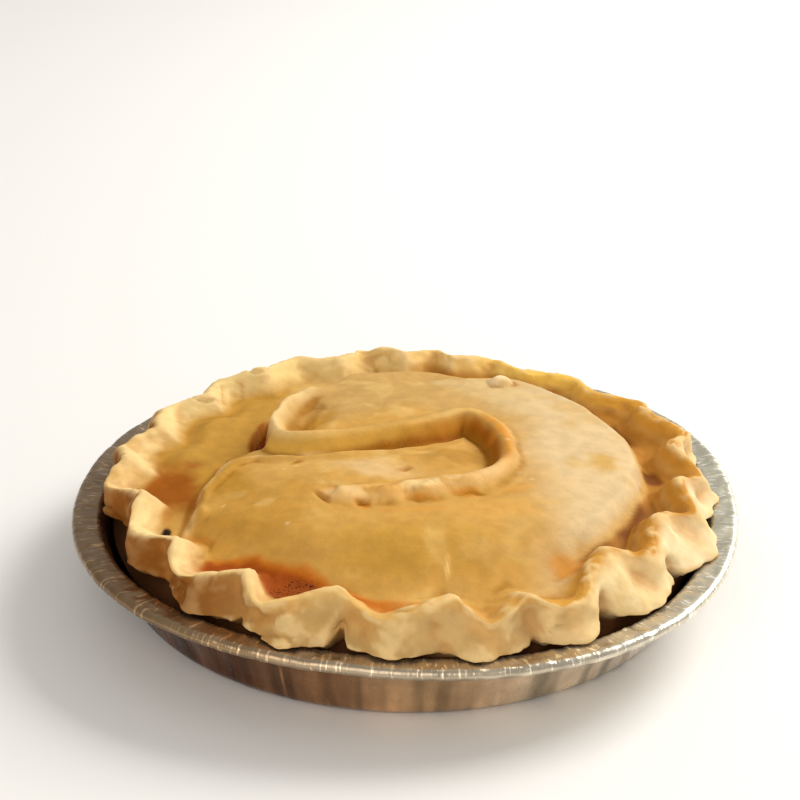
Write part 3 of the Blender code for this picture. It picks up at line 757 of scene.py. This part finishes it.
def crimped_rim(angle):
    """The rim as a grid: section points down the rows, angle along the columns. Each point is a
    blend of the pinch section and the lobe section. The blend follows the pinches near the crest
    and the lobes near the skirt."""
    pinch_angles, pinch_radii, pinch_heights = np.array(PINCHES).T
    lobe_angles, lobe_radii, crest_heights = np.array(sorted(LOBES)).T
    pinch = spline(PINCH_SECTION, SECTION_PIECES)
    lobe = spline(LOBE_SECTION, SECTION_PIECES)
    share = np.linspace(0, 1, len(pinch))[:, None]
    outer = smooth(share, 0.38, 0.72)
    where = polar(90.0, angle, 0.0)
    wander = 2.2 * noise(where, 16, 61)
    lean = around(angle, *np.array(LEAN).T)
    turn_in, turn_out = (angle + wander) % 360, angle % 360
    wave_in = crimp_wave(turn_in, pinch_angles, lean)[None]
    wave_out = -crimp_wave(turn_out, lobe_angles, around(angle, *np.array(LOBE_LEAN).T))[None]
    blend = (1 + mix(wave_in, wave_out, outer)) / 2
    blend = np.clip(blend + 0.10 * noise(where, 8, 62)[None], -0.1, 1.1)
    radius = mix(lobe[:, :1], pinch[:, :1], blend)
    height = mix(lobe[:, 1:], pinch[:, 1:], blend)
    tip_in = around(angle, pinch_angles, pinch_radii - PINCH_TIP[0])[None]
    tip_out = around(angle, lobe_angles, lobe_radii - LOBE_EDGE_RADIUS)[None]
    radius = radius + tip_in * bump(share, 0.32, 0.4) * (1 - outer) + tip_out * smooth(share, 0.45, 0.78)
    crest = bump(share, CREST_SHARE, 0.4)
    height = height + crest * blend * around(angle, pinch_angles, pinch_heights - PINCH_TIP[1])[None]
    height = height + crest * (1 - blend) * around(angle, lobe_angles, crest_heights - LOBE_CREST)[None]
    after_pinch = crimp_wave((angle - THUMB_LAG) % 360, pinch_angles, np.ones_like(lean))[None]
    radius = radius - THUMB_HOLLOW * bump(share, THUMB_SHARE, 0.2) * smooth(after_pinch, 0, 1)
    height = height + 0.9 * noise(where, 22, 63) * crest
    hem = bump(share, HEM_SHARE, 0.16)
    radius = radius + (1.0 * noise(where, 6, 64) + 0.8 * noise(where, 2.4, 65))[None] * hem
    for place, half, depth in NOTCHES:
        gap = bump(angle + 0.8 * noise(where, 5, 66), place, half)[None] * smooth(share, 0.52, 0.72)
        radius = radius - depth * gap
        height = height + 0.45 * depth * gap * bump(share, HEM_SHARE, 0.2)
    _, flange = out_of_round(100.0, angle, np.full(angle.shape, PAN_HEIGHT))
    height = height + (flange - PAN_HEIGHT)[None] * smooth(share, 0.5, 0.8)
    return radius, height


def crust_rings():
    """All the rings of the pastry, from the lid's centre out, over the rim and down to its base."""
    angle = np.arange(CRUST_STEPS) * 360 / CRUST_STEPS
    rim_radius, rim_height = crimped_rim(angle)
    lid_share = ((np.arange(LID_RINGS) + 1) / (LID_RINGS + 1))[:, None]
    radius = lid_share * rim_radius[:1]
    flat = polar(radius, np.broadcast_to(angle, radius.shape), 0.0)
    height = lid_height(flat[..., 0], flat[..., 1])
    edge = polar(rim_radius[:1], angle[None], 0.0)
    seam = rim_height[:1] - lid_height(edge[..., 0], edge[..., 1])
    height = height + seam * smooth(lid_share, 0.9, 1.0)
    under_height = np.array(UNDER_HEIGHTS)[:, None]
    beside_wall = wall_radius(under_height[: -len(UNDER_RADII)]) - WALL_CLEARANCE
    under_radius = np.vstack([beside_wall, np.array(UNDER_RADII)[:, None]])
    ones = np.ones((1, CRUST_STEPS))
    radius = np.vstack([radius, rim_radius, under_radius * ones])
    height = np.vstack([height, rim_height, under_height * ones])
    return radius, np.broadcast_to(angle, radius.shape), height


# %% [markdown]
# ## Baked tones
# An oven browns dough by how hot each place got: thin edges and folds near the glass or the element go
# brown, and juice that boils over burns on. The tones also carry painted light and shade: crimp faces
# turned to the window at the right are painted paler, and faces, hollows and creases turned away from it
# are painted browner. Painting that by hand would tie it to one mesh, so the colour of each point is
# worked out from its place, its angle and how far it stands out from its neighbours.

# %% Baked tones
# The tones of the inner and the outer faces of the crimps round the pie, as (angle, red, green, blue).
# They are baked colour with painted shade on the sides turned from the window, which are the inner faces
# at the right and the outer faces at the left, and painted light on the outer faces at the right.
INNER_TONES = (
    (0, 194, 134, 48), (30, 200, 142, 50), (58, 230, 184, 84), (85, 222, 184, 112),
    (115, 228, 198, 130), (145, 232, 202, 138), (172, 224, 184, 116), (190, 222, 178, 108),
    (207, 236, 202, 136), (240, 230, 192, 122), (270, 214, 168, 94), (300, 204, 148, 60),
    (330, 196, 136, 50),
)
OUTER_TONES = (
    (0, 242, 216, 170), (30, 234, 202, 148), (90, 224, 190, 126), (150, 224, 188, 122),
    (178, 166, 106, 42), (200, 146, 86, 28), (222, 162, 104, 42), (240, 192, 148, 86),
    (262, 196, 158, 98), (285, 212, 174, 114), (310, 238, 212, 158), (340, 240, 216, 170),
)
# Orange spots of dried juice on the lid, as (x, y, half length, half width, turn, strength).
ORANGE_SPOTS = (
    (4, -35.2, 7, 2.2, 3, 0.85), (20, -31, 8, 3.0, 3, 0.85), (-14, -39.5, 4, 2.6, -30, 0.95),
    (2, -43, 16, 4, 4, 0.35), (36, -28, 9, 4, 30, 0.35), (30, 12, 6, 3, 70, 0.5),
)
# The way towards the window light. Crimp faces at the left that are turned to it get a painted
# highlight, and faces turned away get painted shade.
LIGHT_FROM = np.array([0.72, 0.5, 0.48])
# Pale crumbs stuck to the lid, as (x, y, half width).
CRUMBS = (
    (-36.1, -10.9, 1.0), (-39.7, -12.7, 0.8), (-36.7, -50.9, 1.0), (-58.0, -33.0, 0.9),
    (22.0, -17.0, 1.2), (33.0, 2.0, 1.1), (36.0, -16.5, 1.3), (40.0, -21.0, 1.0),
)
# Where the juice at the front left starts, as (angle, radius).
STAIN_EDGE = (
    (215, 86), (226, 82), (230, 78.5), (234, 75.5), (245, 74), (256, 78.5), (265, 82.5), (280, 86),
)
# The burnt speck in the trough at the left as (x, y, half width, half length).
SPECK = (-75.2, -41.8, 1.7, 3.2)

# %% Relief


def skin_normals(points):
    """Outward normals of a ring grid: the cross product of the step along the ring and the step to
    the next ring."""
    along = np.roll(points, -1, axis=1) - np.roll(points, 1, axis=1)
    down = np.gradient(points, axis=0)
    normal = np.cross(down, along)
    return normal / np.maximum(np.linalg.norm(normal, axis=-1, keepdims=True), 1e-9)


def relief(points, normal, ring):
    """The unevenness of hand-made dough, pushed along the skin's normals: soft on the lid, lumpy on
    the crimps."""
    lumpy = smooth(ring, LID_RINGS - 2, LID_RINGS + 8)
    open_skin = 1 - smooth(ring, len(points) - 12, len(points) - 8)
    soft = 0.16 * rough(points, 11.0, 71, octaves=2) + 0.05 * rough(points, 1.8, 72, octaves=2)
    lumps = 0.75 * rough(points, 8.0, 73, octaves=3) + 0.12 * rough(points, 1.8, 74, octaves=2)
    crack = -0.8 * smooth(0.12 - np.abs(noise(points, 9.0, 75)), 0, 0.1)
    crack = crack * smooth(noise(points, 14, 76), 0.1, 0.5)
    crest = bump(ring, LID_RINGS + 22, 16)
    crumbs = 0.9 * np.clip(noise(points, 2.7, 77), 0, 1) ** 1.3
    crumbs = crumbs + 0.25 * rough(points, 1.5, 78, octaves=2)
    crumbly = crest * smooth(noise(points, 17, 79), -0.1, 0.5)
    return points + normal * ((soft + lumpy * (lumps + crack) + crumbly * crumbs) * open_skin)[..., None]


def hollowness(points, normal, reach):
    """How far each point stands out from its neighbours in the grid, in mm: ridges above 0, creases
    below."""
    down = np.clip(np.arange(len(points)) + reach, 0, len(points) - 1)
    up = np.clip(np.arange(len(points)) - reach, 0, len(points) - 1)
    near = points[down] + points[up] + np.roll(points, reach, axis=1) + np.roll(points, -reach, axis=1)
    return ((points - near / 4) * normal).sum(axis=-1)


# %% Lid tones


def polar_place(points):
    """Radius and angle in degrees, seen from above."""
    x, y = points[..., 0], points[..., 1]
    return np.hypot(x, y), np.degrees(np.arctan2(y, x)) % 360


def blot(points, fray, px, py, long, wide, turn=0.0):
    """A soft oval seen from above, with a frayed edge: 1 in its middle and 0 outside it."""
    c, s = math.cos(math.radians(turn)), math.sin(math.radians(turn))
    x, y = points[..., 0] - px, points[..., 1] - py
    return 1 - smooth(np.hypot((x * c + y * s) / long, (y * c - x * s) / wide) + 0.25 * fray, 0.25, 1.0)


def paint_dome(points, fray, patch):
    """Gold on the dome, cream at the right, deep gold at the front left, a paler slump at the back left,
    and darker gold in the bowl of the left lobe, which is partly painted shade."""
    x, y = points[..., 0], points[..., 1]
    radius, angle = polar_place(points)
    oval = partial(blot, points, fray)
    slump = between(angle, 108, 122, 170, 186) * smooth(radius + 4 * fray, 50, 74)
    valley = smooth(radius, 50, 58) * smooth(-x, 36, 48) * smooth(y, -34, -20)
    off, _ = beside(x, y, spline(CUT_PATH, 8))
    cloud = rough(points, 26, 81)
    layers = [
        ((194, 142, 56), 0.8 * oval(-48, -44, 34, 26, 20)),
        ((196, 146, 58), 0.8 * oval(0, -62, 44, 18)),
        ((192, 154, 92), 0.8 * smooth(y + 6 * cloud, 18, 34)),
        ((210, 180, 126), 0.9 * oval(36, 46, 34, 18, -25)),
        ((216, 188, 140), 0.95 * smooth(x - 0.12 * np.abs(y) + 9 * cloud, 22, 50)),
        ((206, 166, 94), 0.5 * smooth(patch, 0.1, 0.8) * smooth(x, 0, 30)),
        ((212, 174, 102), 0.9 * slump),
        ((214, 160, 76), 0.7 * oval(26, -42, 20, 10, 10)),
        ((226, 190, 116), 0.4 * smooth(-patch, 0.3, 0.9) * (1 - smooth(x, 0, 30))),
        ((206, 160, 74), 0.8 * oval(64, -6, 10, 7, 80)),
        ((220, 184, 128), 0.8 * oval(-13, -13, 19, 11, -8)),
        ((212, 168, 92), 0.5 * oval(-35, -12, 20, 10, -10)),
        ((178, 130, 52), 0.9 * oval(18, -2, 17, 13, 15)),
        # Darker gold in the bowl of the left lobe: baked tone and partly painted shade.
        ((190, 138, 50), 0.95 * oval(-32.5, 22, 16, 8.5, 75)),
        ((178, 128, 38), 0.8 * valley * smooth(off, WALL_WIDTH, WALL_WIDTH + 2)),
    ]
    return lay(np.broadcast_to(shade(202, 154, 76), points.shape), layers)


def paint_cut(tone, points, fray, patch):
    """The cut's wall, with painted shade that deepens towards its deep end, painted shade in the crease
    at its foot, the pale lip beside it, partly a painted highlight round the left arc, and the flap's
    edge with the painted glare along it and painted shade in the crease in front of it."""
    x, y = points[..., 0], points[..., 1]
    off, along = beside(x, y, spline(CUT_PATH, 8))
    rope = along_cut(along, LIP_RADIUS)
    wall = bump(off, 1.6, 3.4) * between(along, 0.05, 0.12, 0.86, 0.95)
    foot = bump(off, WALL_WIDTH + 0.2, 2.3) * between(along, 0.3, 0.42, 0.66, 0.76)
    lip = bump(off, -rope * 0.9, rope * 1.25) * between(along, 0.02, 0.08, 0.97, 1)
    patchy = smooth(patch + 0.6 * fray, -0.1, 0.5)
    off, flap_along = beside(x, y, spline(FLAP_PATH, 6))
    edge = bump(off, -0.6, 2.4) * smooth(flap_along, 0.42, 0.55)
    glare = bump(off, -0.6, 2.0) * between(flap_along, 0.02, 0.1, 0.5, 0.6)
    # Painted shade: the wall darkening to its deep end, the crease at its foot and the crease in front
    # of the flap. Painted highlight: the glare and part of the lip's paleness round the left arc.
    layers = [
        ((212, 164, 68), 0.8 * wall),
        ((186, 126, 38), wall * between(along, 0.4, 0.52, 0.72, 0.8)),
        ((158, 92, 14), wall * between(along, 0.52, 0.6, 0.72, 0.8)),
        ((150, 84, 14), 1.3 * foot),
        ((212, 172, 100), lip * (0.95 - 0.75 * bump(along, 0.42, 0.16))),
        ((230, 198, 140), 0.8 * lip * (1 - smooth(along, 0.2, 0.3))),
        ((206, 142, 54), lip * smooth(along, 0.54, 0.6)),
        ((228, 188, 124), lip * smooth(along, 0.7, 0.76)),
        ((208, 154, 74), lip * smooth(along, 0.76, 0.82) * patchy),
        ((230, 196, 134), 0.9 * blot(points, fray, 5, -28.5, 11, 4.5, 8)),
        ((220, 182, 118), 0.7 * edge),
        ((224, 190, 134), 0.8 * glare),
        ((150, 90, 28), 0.7 * bump(off, 1.6, 1.6) * smooth(flap_along, 0.5, 0.6)),
    ]
    return lay(tone, layers)


def paint_marks(tone, points, fray):
    """Crumbs, orange spots of juice, brown tears, the open slot with the brown round it, which is juice
    and painted shade in the pit, the knob and the drip."""
    x, y = points[..., 0], points[..., 1]
    oval = partial(blot, points, fray)
    layers = []
    for px, py, half in CRUMBS:
        crumb = 1 - smooth(np.hypot(x - px, y - py), 0.3 * half, half)
        layers.append(((230, 198, 142), 0.7 * crumb))
    for *place, strength in ORANGE_SPOTS:
        layers.append(((214, 140, 44), strength * oval(*place)))
    for px, py, long, turn, depth in TEARS:
        layers.append(((166, 100, 24), min(0.6 * depth, 0.85) * oval(px, py, long + 1, 1.9, turn)))
    layers += [
        # The slot and the brown round it: juice, and painted shade in the pit.
        ((150, 82, 14), 0.8 * vent_share(x, y, 1.6)),
        ((158, 76, 10), vent_share(x, y, 0.3)),
        ((246, 216, 168), 0.95 * oval(*KNOB[:2], 5.5, 4.2)),
        ((234, 192, 116), oval(*DRIP[:2], 1.2, 6.5)),
    ]
    return lay(tone, layers)


# %% Stains


def paint_stains(tone, points, fray, share):
    """Juice that boiled over the trough and burnt on, at the front left and at the left, and how thickly
    the front stain is freckled with black. At the right a brown darkens into the crevice where the lid
    meets the crimps: juice, and painted shade. The front stain starts at its own radius for each angle."""
    x, y = points[..., 0], points[..., 1]
    radius, angle = polar_place(points)
    inside = 1 - smooth(share + 0.02 * fray, 0.08, 0.18)
    past = radius + 1.2 * fray - around(angle, *np.array(STAIN_EDGE).T)
    front = smooth(angle + 3 * fray, 221, 228) * (1 - smooth(angle + 4 * fray, 262, 284)) * inside
    burnt = between(angle + 2 * fray, 240, 246, 251, 256) * inside
    burnt = burnt * smooth(radius + 2.5 * fray, 77, 81)
    left = between(angle + 3 * fray, 170, 182, 194, 208) * (1 - smooth(share, 0.02, 0.1))
    small = bump(angle, 216, 6) * inside * smooth(radius + 2 * fray, 77, 80)
    right = smooth(np.abs((angle - 20 + 180) % 360 - 180) + 4 * fray, 74, 60)
    drift = noise(points, 9, 84)
    crease = bump(share, 0.0, 0.06) * smooth(radius, 77, 79) * right * smooth(drift, -0.3, 0.4)
    spot = 1 - smooth(np.hypot((x - 52) / 14, (y + 64) / 8) + 0.25 * fray, 0.3, 1)
    layers = [
        ((196, 108, 18), 0.9 * front * smooth(past, -2.0, 1.5)),
        ((150, 66, 4), 0.92 * front * (1 - smooth(angle + 3 * fray, 254, 268)) * smooth(past, 0.2, 4)),
        ((140, 66, 14), 0.8 * burnt),
        ((150, 80, 8), 0.95 * left * smooth(radius + 2 * fray, 66, 73)),
        ((192, 120, 36), 0.7 * small),
        # At the right: a pale band, then brown darkening into the crevice, which is juice and painted
        # shade.
        ((212, 168, 92), 0.8 * right * inside * smooth(radius + drift, 75, 77.5)),
        ((170, 112, 34), 0.9 * right * inside * smooth(radius + drift, 77.4, 79)),
        ((112, 58, 10), 0.9 * crease),
        ((198, 134, 48), 0.85 * spot * inside),
    ]
    return lay(tone, layers), burnt


# %% Crust tones


def paint_rim(points, normal, share, angle, fray):
    """The crimps' tones, with painted light and shade: each side of the pie has its own tones, faces
    turned to the window light are painted pale, and faces turned from it are painted brown as shade."""
    inner = tones_around(angle, INNER_TONES)
    outer = tones_around(angle, OUTER_TONES)
    tone = inner + (outer - inner) * smooth(share, 0.36, 0.5)[..., None]
    facing = normal @ LIGHT_FROM
    left = smooth(np.cos(np.radians(angle - 196)), 0.58, 0.85)
    under = bump(share, 0.54, 0.24)
    shaded = smooth(share, 0.34, 0.42) * (1 - 0.4 * smooth(share, 0.7, 0.82))
    turned_away = smooth(-facing + 0.1 * fray, -0.8, -0.2)
    after_pinch = crimp_wave((angle - THUMB_LAG) % 360, np.array(PINCHES)[:, 0], np.ones_like(angle))
    hollow_shade = under * smooth(after_pinch, 0, 1)
    blush = smooth(rough(points, 12, 85) + 0.3 * fray, 0.2, 1.2)
    # Painted highlight on faces at the left turned to the window, painted shade on those turned away,
    # and painted shade in the thumb hollows elsewhere. The blush is baked colour at random.
    layers = [
        ((240, 208, 146), 0.85 * left * smooth(facing, 0.2, 0.6)),
        ((142, 84, 26), 0.95 * left * shaded * turned_away),
        ((206, 158, 88), 0.55 * hollow_shade * (1 - left)),
        ((196, 138, 66), 0.5 * blush * smooth(share, 0.3, 0.4)),
    ]
    return lay(tone, layers)


def paint_crust(points, ring, angle):
    """Tones for every point, then pale ridges (partly a painted highlight), painted shade in the creases
    and under the skirt, and how speckled and how glossy it is."""
    normal = skin_normals(points)
    fray = rough(points, 6, 83)
    rim_rows = len(spline(PINCH_SECTION, SECTION_PIECES))
    share = np.clip((ring - LID_RINGS) / (rim_rows - 1), 0, 1) + 0 * angle
    patch = rough(points, 9, 82)
    lid = paint_dome(points, fray, patch)
    lid = paint_cut(lid, points, fray, patch)
    lid = paint_marks(lid, points, fray)
    rim = paint_rim(points, normal, share, angle, fray)
    on_rim = smooth(share, 0.0, 0.18)
    tone = lid + (rim - lid) * on_rim[..., None]
    out = hollowness(points, normal, 4)
    inner = 1 - smooth(share, 0.2, 0.32)
    bare = smooth(np.cos(np.radians(angle - 15)), 0.35, 0.75)
    browned = smooth(np.cos(np.radians(angle - 202)), 0.7, 0.92) * smooth(share, 0.36, 0.46)
    pale = smooth(out, 0.05, 0.65) * on_rim * (1 - inner * bare) * (1 - 0.85 * browned)
    # Pale ridges are baked tone and partly a painted highlight, left out on the crimps' shaded sides.
    # The brown in the creases is painted shade.
    layers = [
        ((232, 198, 138), 0.8 * pale),
        ((160, 106, 22), 0.8 * smooth(-out, 0.16, 0.75) * (1 - on_rim)),
        ((186, 130, 68), 0.5 * smooth(-out, 0.2, 0.9) * on_rim),
    ]
    tone, speckle = paint_stains(lay(tone, layers), points, fray, share)
    x, y = points[..., 0], points[..., 1]
    px, py, across, length = SPECK
    speck = np.hypot((x - px) / across, (y - py) / length)
    # The pastry under the skirt is painted dark brown as shade. The speck is burnt juice.
    layers = [
        ((92, 56, 30), smooth(share, 0.86, 0.98)),
        ((38, 14, 8), 1 - smooth(speck + 0.3 * fray, 0.5, 1.1)),
    ]
    tone = lay(tone, layers)
    gloss = 0.35 + 0.25 * noise(points, 18, 86) + 0.3 * smooth(x, 10, 50) - 0.35 * on_rim
    gloss = gloss - 0.6 * smooth(-out, 0.02, 0.3) - 0.6 * smooth(share, 0.0, 0.05)
    gloss = gloss - 0.5 * smooth(np.hypot(x, y), 70, 77) - vent_share(x, y, 2.0)
    return {"tone": tone, "speckle": np.clip(speckle, 0, 1), "gloss": np.clip(gloss, 0, 1)}


# %% [markdown]
# ## The pastry
# Lid, crimps and base are one piece of dough on the real pie, since their edges are pinched
# together. So they are one closed skin here too, from the lid's centre out to the crest, down the
# skirt and under the filling. Lid and rim could be two meshes that overlap, but then a seam would
# show in the trough.

# %% Pastry skin


def make_crust():
    """The pastry's rings with their relief, lifted off the flange wherever the skirt would touch
    the foil."""
    radius, angle, height = crust_rings()
    points = polar(radius, angle, height)
    ring = np.arange(len(points))[:, None]
    points = relief(points, skin_normals(points), ring)
    out, _ = polar_place(points)
    _, flange = out_of_round(out, angle, np.full(out.shape, PAN_HEIGHT))
    over_flange = (ring >= LID_RINGS) & (out > WALL_TOP_RADIUS - 1.5)
    lifted = np.maximum(points[..., 2], flange + FOIL / 2 + FIT_GAP)
    points[..., 2] = np.where(over_flange, lifted, points[..., 2])
    return ring_mesh("pie_crust", points, paint_crust(points, ring, angle))


crust = make_crust()
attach(crust, "root")
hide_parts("crust")

# %% [markdown]
# ## Finishes
# Baked pastry is matt with a satin glaze where the sugar ran, foil is bright metal under a painted
# reflection, and the filling is wet. The painted tones carry the large colours, and the materials add
# what is finer than the mesh: mottling, freckles and small bumps, all from noise on the object's own
# coordinates.

# %% Shader helpers


def new_material(name):
    """A material with its node tree and its Principled shader."""
    material = bpy.data.materials.new(name)
    material.use_nodes = True
    return material, material.node_tree, material.node_tree.nodes["Principled BSDF"]


def set_inputs(tree, node, inputs):
    """An input that is a socket gets linked, anything else is set as the input's value."""
    for key, value in inputs.items():
        if isinstance(value, bpy.types.NodeSocket):
            tree.links.new(value, node.inputs[key])
        else:
            node.inputs[key].default_value = value


def add(tree, kind, inputs=None, **settings):
    """A shader node of that kind with its settings and its inputs."""
    node = tree.nodes.new("ShaderNode" + kind)
    for key, value in settings.items():
        setattr(node, key, value)
    set_inputs(tree, node, inputs or {})
    return node


def value_of(tree, label, output="Fac"):
    """A number or colour that the mesh carries under that name."""
    return add(tree, "Attribute", attribute_name=label).outputs[output]


def grain(tree, size, detail):
    """Noise on the object's own coordinates, with features of that size in mm."""
    coords = add(tree, "TexCoord").outputs["Object"]
    inputs = {"Vector": coords, "Scale": 1000 / size, "Detail": detail}
    return add(tree, "TexNoise", inputs).outputs["Fac"]


def remap(tree, value, low, high, to_low=0.0, to_high=1.0):
    """A smooth step from to_low, where the value is low, to to_high, where it is high."""
    inputs = {"Value": value, "From Min": low, "From Max": high, "To Min": to_low, "To Max": to_high}
    return add(tree, "MapRange", inputs, interpolation_type="SMOOTHSTEP").outputs["Result"]


def times(tree, a, b):
    """The product of two numbers."""
    return add(tree, "Math", {0: a, 1: b}, operation="MULTIPLY").outputs[0]


def blend(tree, share, a, b, mode="MIX"):
    """Mixes two colours."""
    node = add(tree, "Mix", {0: share, 6: a, 7: b}, data_type="RGBA", blend_type=mode)
    return node.outputs[2]


def bumped(tree, height, depth, under=None):
    """A bump of that depth in mm, on top of another bump's normal if there is one."""
    inputs = {"Height": height, "Distance": depth * MM, "Strength": 1.0}
    if under is not None:
        inputs["Normal"] = under
    return add(tree, "Bump", inputs).outputs["Normal"]


# %% [markdown]
# ## Pastry, foil and filling
# Foil shows its shape in highlights: it wrinkles across the flange and up the wall, and the tops of the
# wrinkles on the flange get painted glints. A plain noise would give round dimples instead, so its noise
# runs round the pan.

# %% Pastry, foil and filling materials


def pastry_material():
    """Baked dough: the painted tones, mottled by fine noise, freckled black where juice burnt,
    satin where glazed."""
    material, tree, shader = new_material("pastry")
    tone = value_of(tree, "tone", "Color")
    mottle = remap(tree, grain(tree, 5.0, 5.0), 0.3, 0.7, 0.93, 1.07)
    tone = blend(tree, 1.0, tone, mottle, "MULTIPLY")
    freckle = remap(tree, grain(tree, 1.1, 2.0), 0.56, 0.64)
    freckle = times(tree, freckle, value_of(tree, "speckle"))
    tone = blend(tree, freckle, tone, (*shade(52, 20, 8), 1))
    glazed = remap(tree, value_of(tree, "gloss"), 0.15, 0.9, 0.72, 0.4)
    fine = bumped(tree, grain(tree, 0.7, 3.0), 0.10)
    soft = bumped(tree, grain(tree, 4.0, 3.0), 0.22, fine)
    inputs = {"Base Color": tone, "Roughness": glazed, "Specular IOR Level": 0.09, "Normal": soft}
    set_inputs(tree, shader, inputs)
    return material


def round_grain(tree, across, along):
    """Noise that follows the pan: features that wide round it and that long up the wall or out
    along the flange."""
    coords = add(tree, "TexCoord").outputs["Object"]
    axes = add(tree, "SeparateXYZ", {0: coords}).outputs
    flat = add(tree, "CombineXYZ", {0: axes[0], 1: axes[1]}).outputs[0]
    turn = add(tree, "VectorMath", {0: flat}, operation="NORMALIZE").outputs[0]
    scaled = {0: turn, "Scale": 100 / across}
    turn = add(tree, "VectorMath", scaled, operation="SCALE").outputs[0]
    radius = add(tree, "VectorMath", {0: flat}, operation="LENGTH").outputs["Value"]
    reach = add(tree, "Math", {0: radius, 1: axes[2]}, operation="ADD").outputs[0]
    reach = times(tree, reach, 1000 / along)
    lift = add(tree, "CombineXYZ", {2: reach}).outputs[0]
    place = add(tree, "VectorMath", {0: turn, 1: lift}, operation="ADD").outputs[0]
    inputs = {"Vector": place, "Scale": 1.0, "Detail": 2.0}
    return add(tree, "TexNoise", inputs).outputs["Fac"]


def foil_material():
    """Thin aluminium: bright metal under the painted reflection. Short wrinkles run across the flange
    and up the wall, and the tops of those on the flange and the bead get painted glints."""
    material, tree, shader = new_material("foil")
    tone = value_of(tree, "tone", "Color")
    smear = remap(tree, grain(tree, 9.0, 4.0), 0.35, 0.7, 0.85, 1.08)
    wrinkle = round_grain(tree, 1.0, 4.5)
    # Painted glints: the tops of the wrinkles on the flange and the bead are brightened up to twice.
    wrinkle_glints = remap(tree, wrinkle, 0.57, 0.68, 0.92, 2.0)
    glinted = blend(tree, 1.0, tone, wrinkle_glints, "MULTIPLY")
    tone = blend(tree, value_of(tree, "flat"), tone, glinted)
    tone = blend(tree, 1.0, tone, smear, "MULTIPLY")
    dulled = remap(tree, grain(tree, 6.0, 3.0), 0.3, 0.7, 0.24, 0.38)
    creases = bumped(tree, round_grain(tree, 3.4, 26.0), 0.5)
    creases = bumped(tree, wrinkle, 0.15, creases)
    inputs = {"Base Color": tone, "Metallic": 0.9, "Roughness": dulled, "Normal": creases}
    set_inputs(tree, shader, inputs)
    return material


def filling_material():
    """Fruit in thickened juice: dark red-brown with lighter bits, wet on top."""
    material, tree, shader = new_material("filling")
    bits = remap(tree, grain(tree, 3.0, 4.0), 0.45, 0.62)
    tone = blend(tree, bits, (*shade(116, 44, 6), 1), (*shade(158, 76, 16), 1))
    lumps = bumped(tree, grain(tree, 1.2, 3.0), 0.25)
    inputs = {"Base Color": tone, "Roughness": 0.38, "Specular IOR Level": 0.2, "Normal": lumps}
    set_inputs(tree, shader, inputs)
    return material


finishes = ((crust, pastry_material()), (pan, foil_material()), (filling, filling_material()))
for piece, material in finishes:
    piece.data.materials.append(material)
    print(piece.name, "has the material", piece.data.materials[0].name)


# %% [markdown]
# ## Floor and light
# A pale floor under a big window at the back right, with a weak second light from the front left, is how
# food is often photographed. The window lights the right side, and the folds at the left, which are
# turned away from it, also carry painted shade in their tones.

# %% Floor and light
FLOOR_HALF = 3
LIGHT_AIM = (0, 0, 0.03)
# The two lights as (name, place, size in metres, power in watts, colour).
LIGHTS = (
    ("window", (0.9, 0.7, 0.9), 0.8, 22, (1.0, 0.97, 0.92)),
    ("fill", (-0.4, -1.2, 0.8), 1.2, 9, (1.0, 0.95, 0.88)),
)


def make_floor():
    """A plain pale floor, matt, six metres wide."""
    corners = FLOOR_HALF * np.array([(-1, -1, 0), (1, -1, 0), (1, 1, 0), (-1, 1, 0)]) / MM
    floor = new_piece("floor", corners, [(0, 1, 2, 3)])
    material, tree, shader = new_material("floor")
    set_inputs(tree, shader, {"Base Color": (0.86, 0.85, 0.83, 1), "Roughness": 0.6})
    floor.data.materials.append(material)


def soft_light(name, place, size, power, colour):
    """A square area light of that size and power, turned to the aim point."""
    lamp = bpy.data.lights.new(name, "AREA")
    lamp.size = size
    lamp.energy = power
    lamp.color = colour
    light = bpy.data.objects.new(name, lamp)
    light.location = place
    light.rotation_euler = (Vector(LIGHT_AIM) - Vector(place)).to_track_quat("-Z", "Y").to_euler()
    bpy.context.scene.collection.objects.link(light)
    print(name, "gives", power, "W from", place)


make_floor()
for light in LIGHTS:
    soft_light(*light)
world = bpy.data.worlds.new("studio")
world.use_nodes = True
sky = {"Color": (0.95, 0.93, 0.9, 1), "Strength": 0.5}
set_inputs(world.node_tree, world.node_tree.nodes["Background"], sky)
bpy.context.scene.world = world
bpy.context.scene.view_settings.view_transform = "Standard"
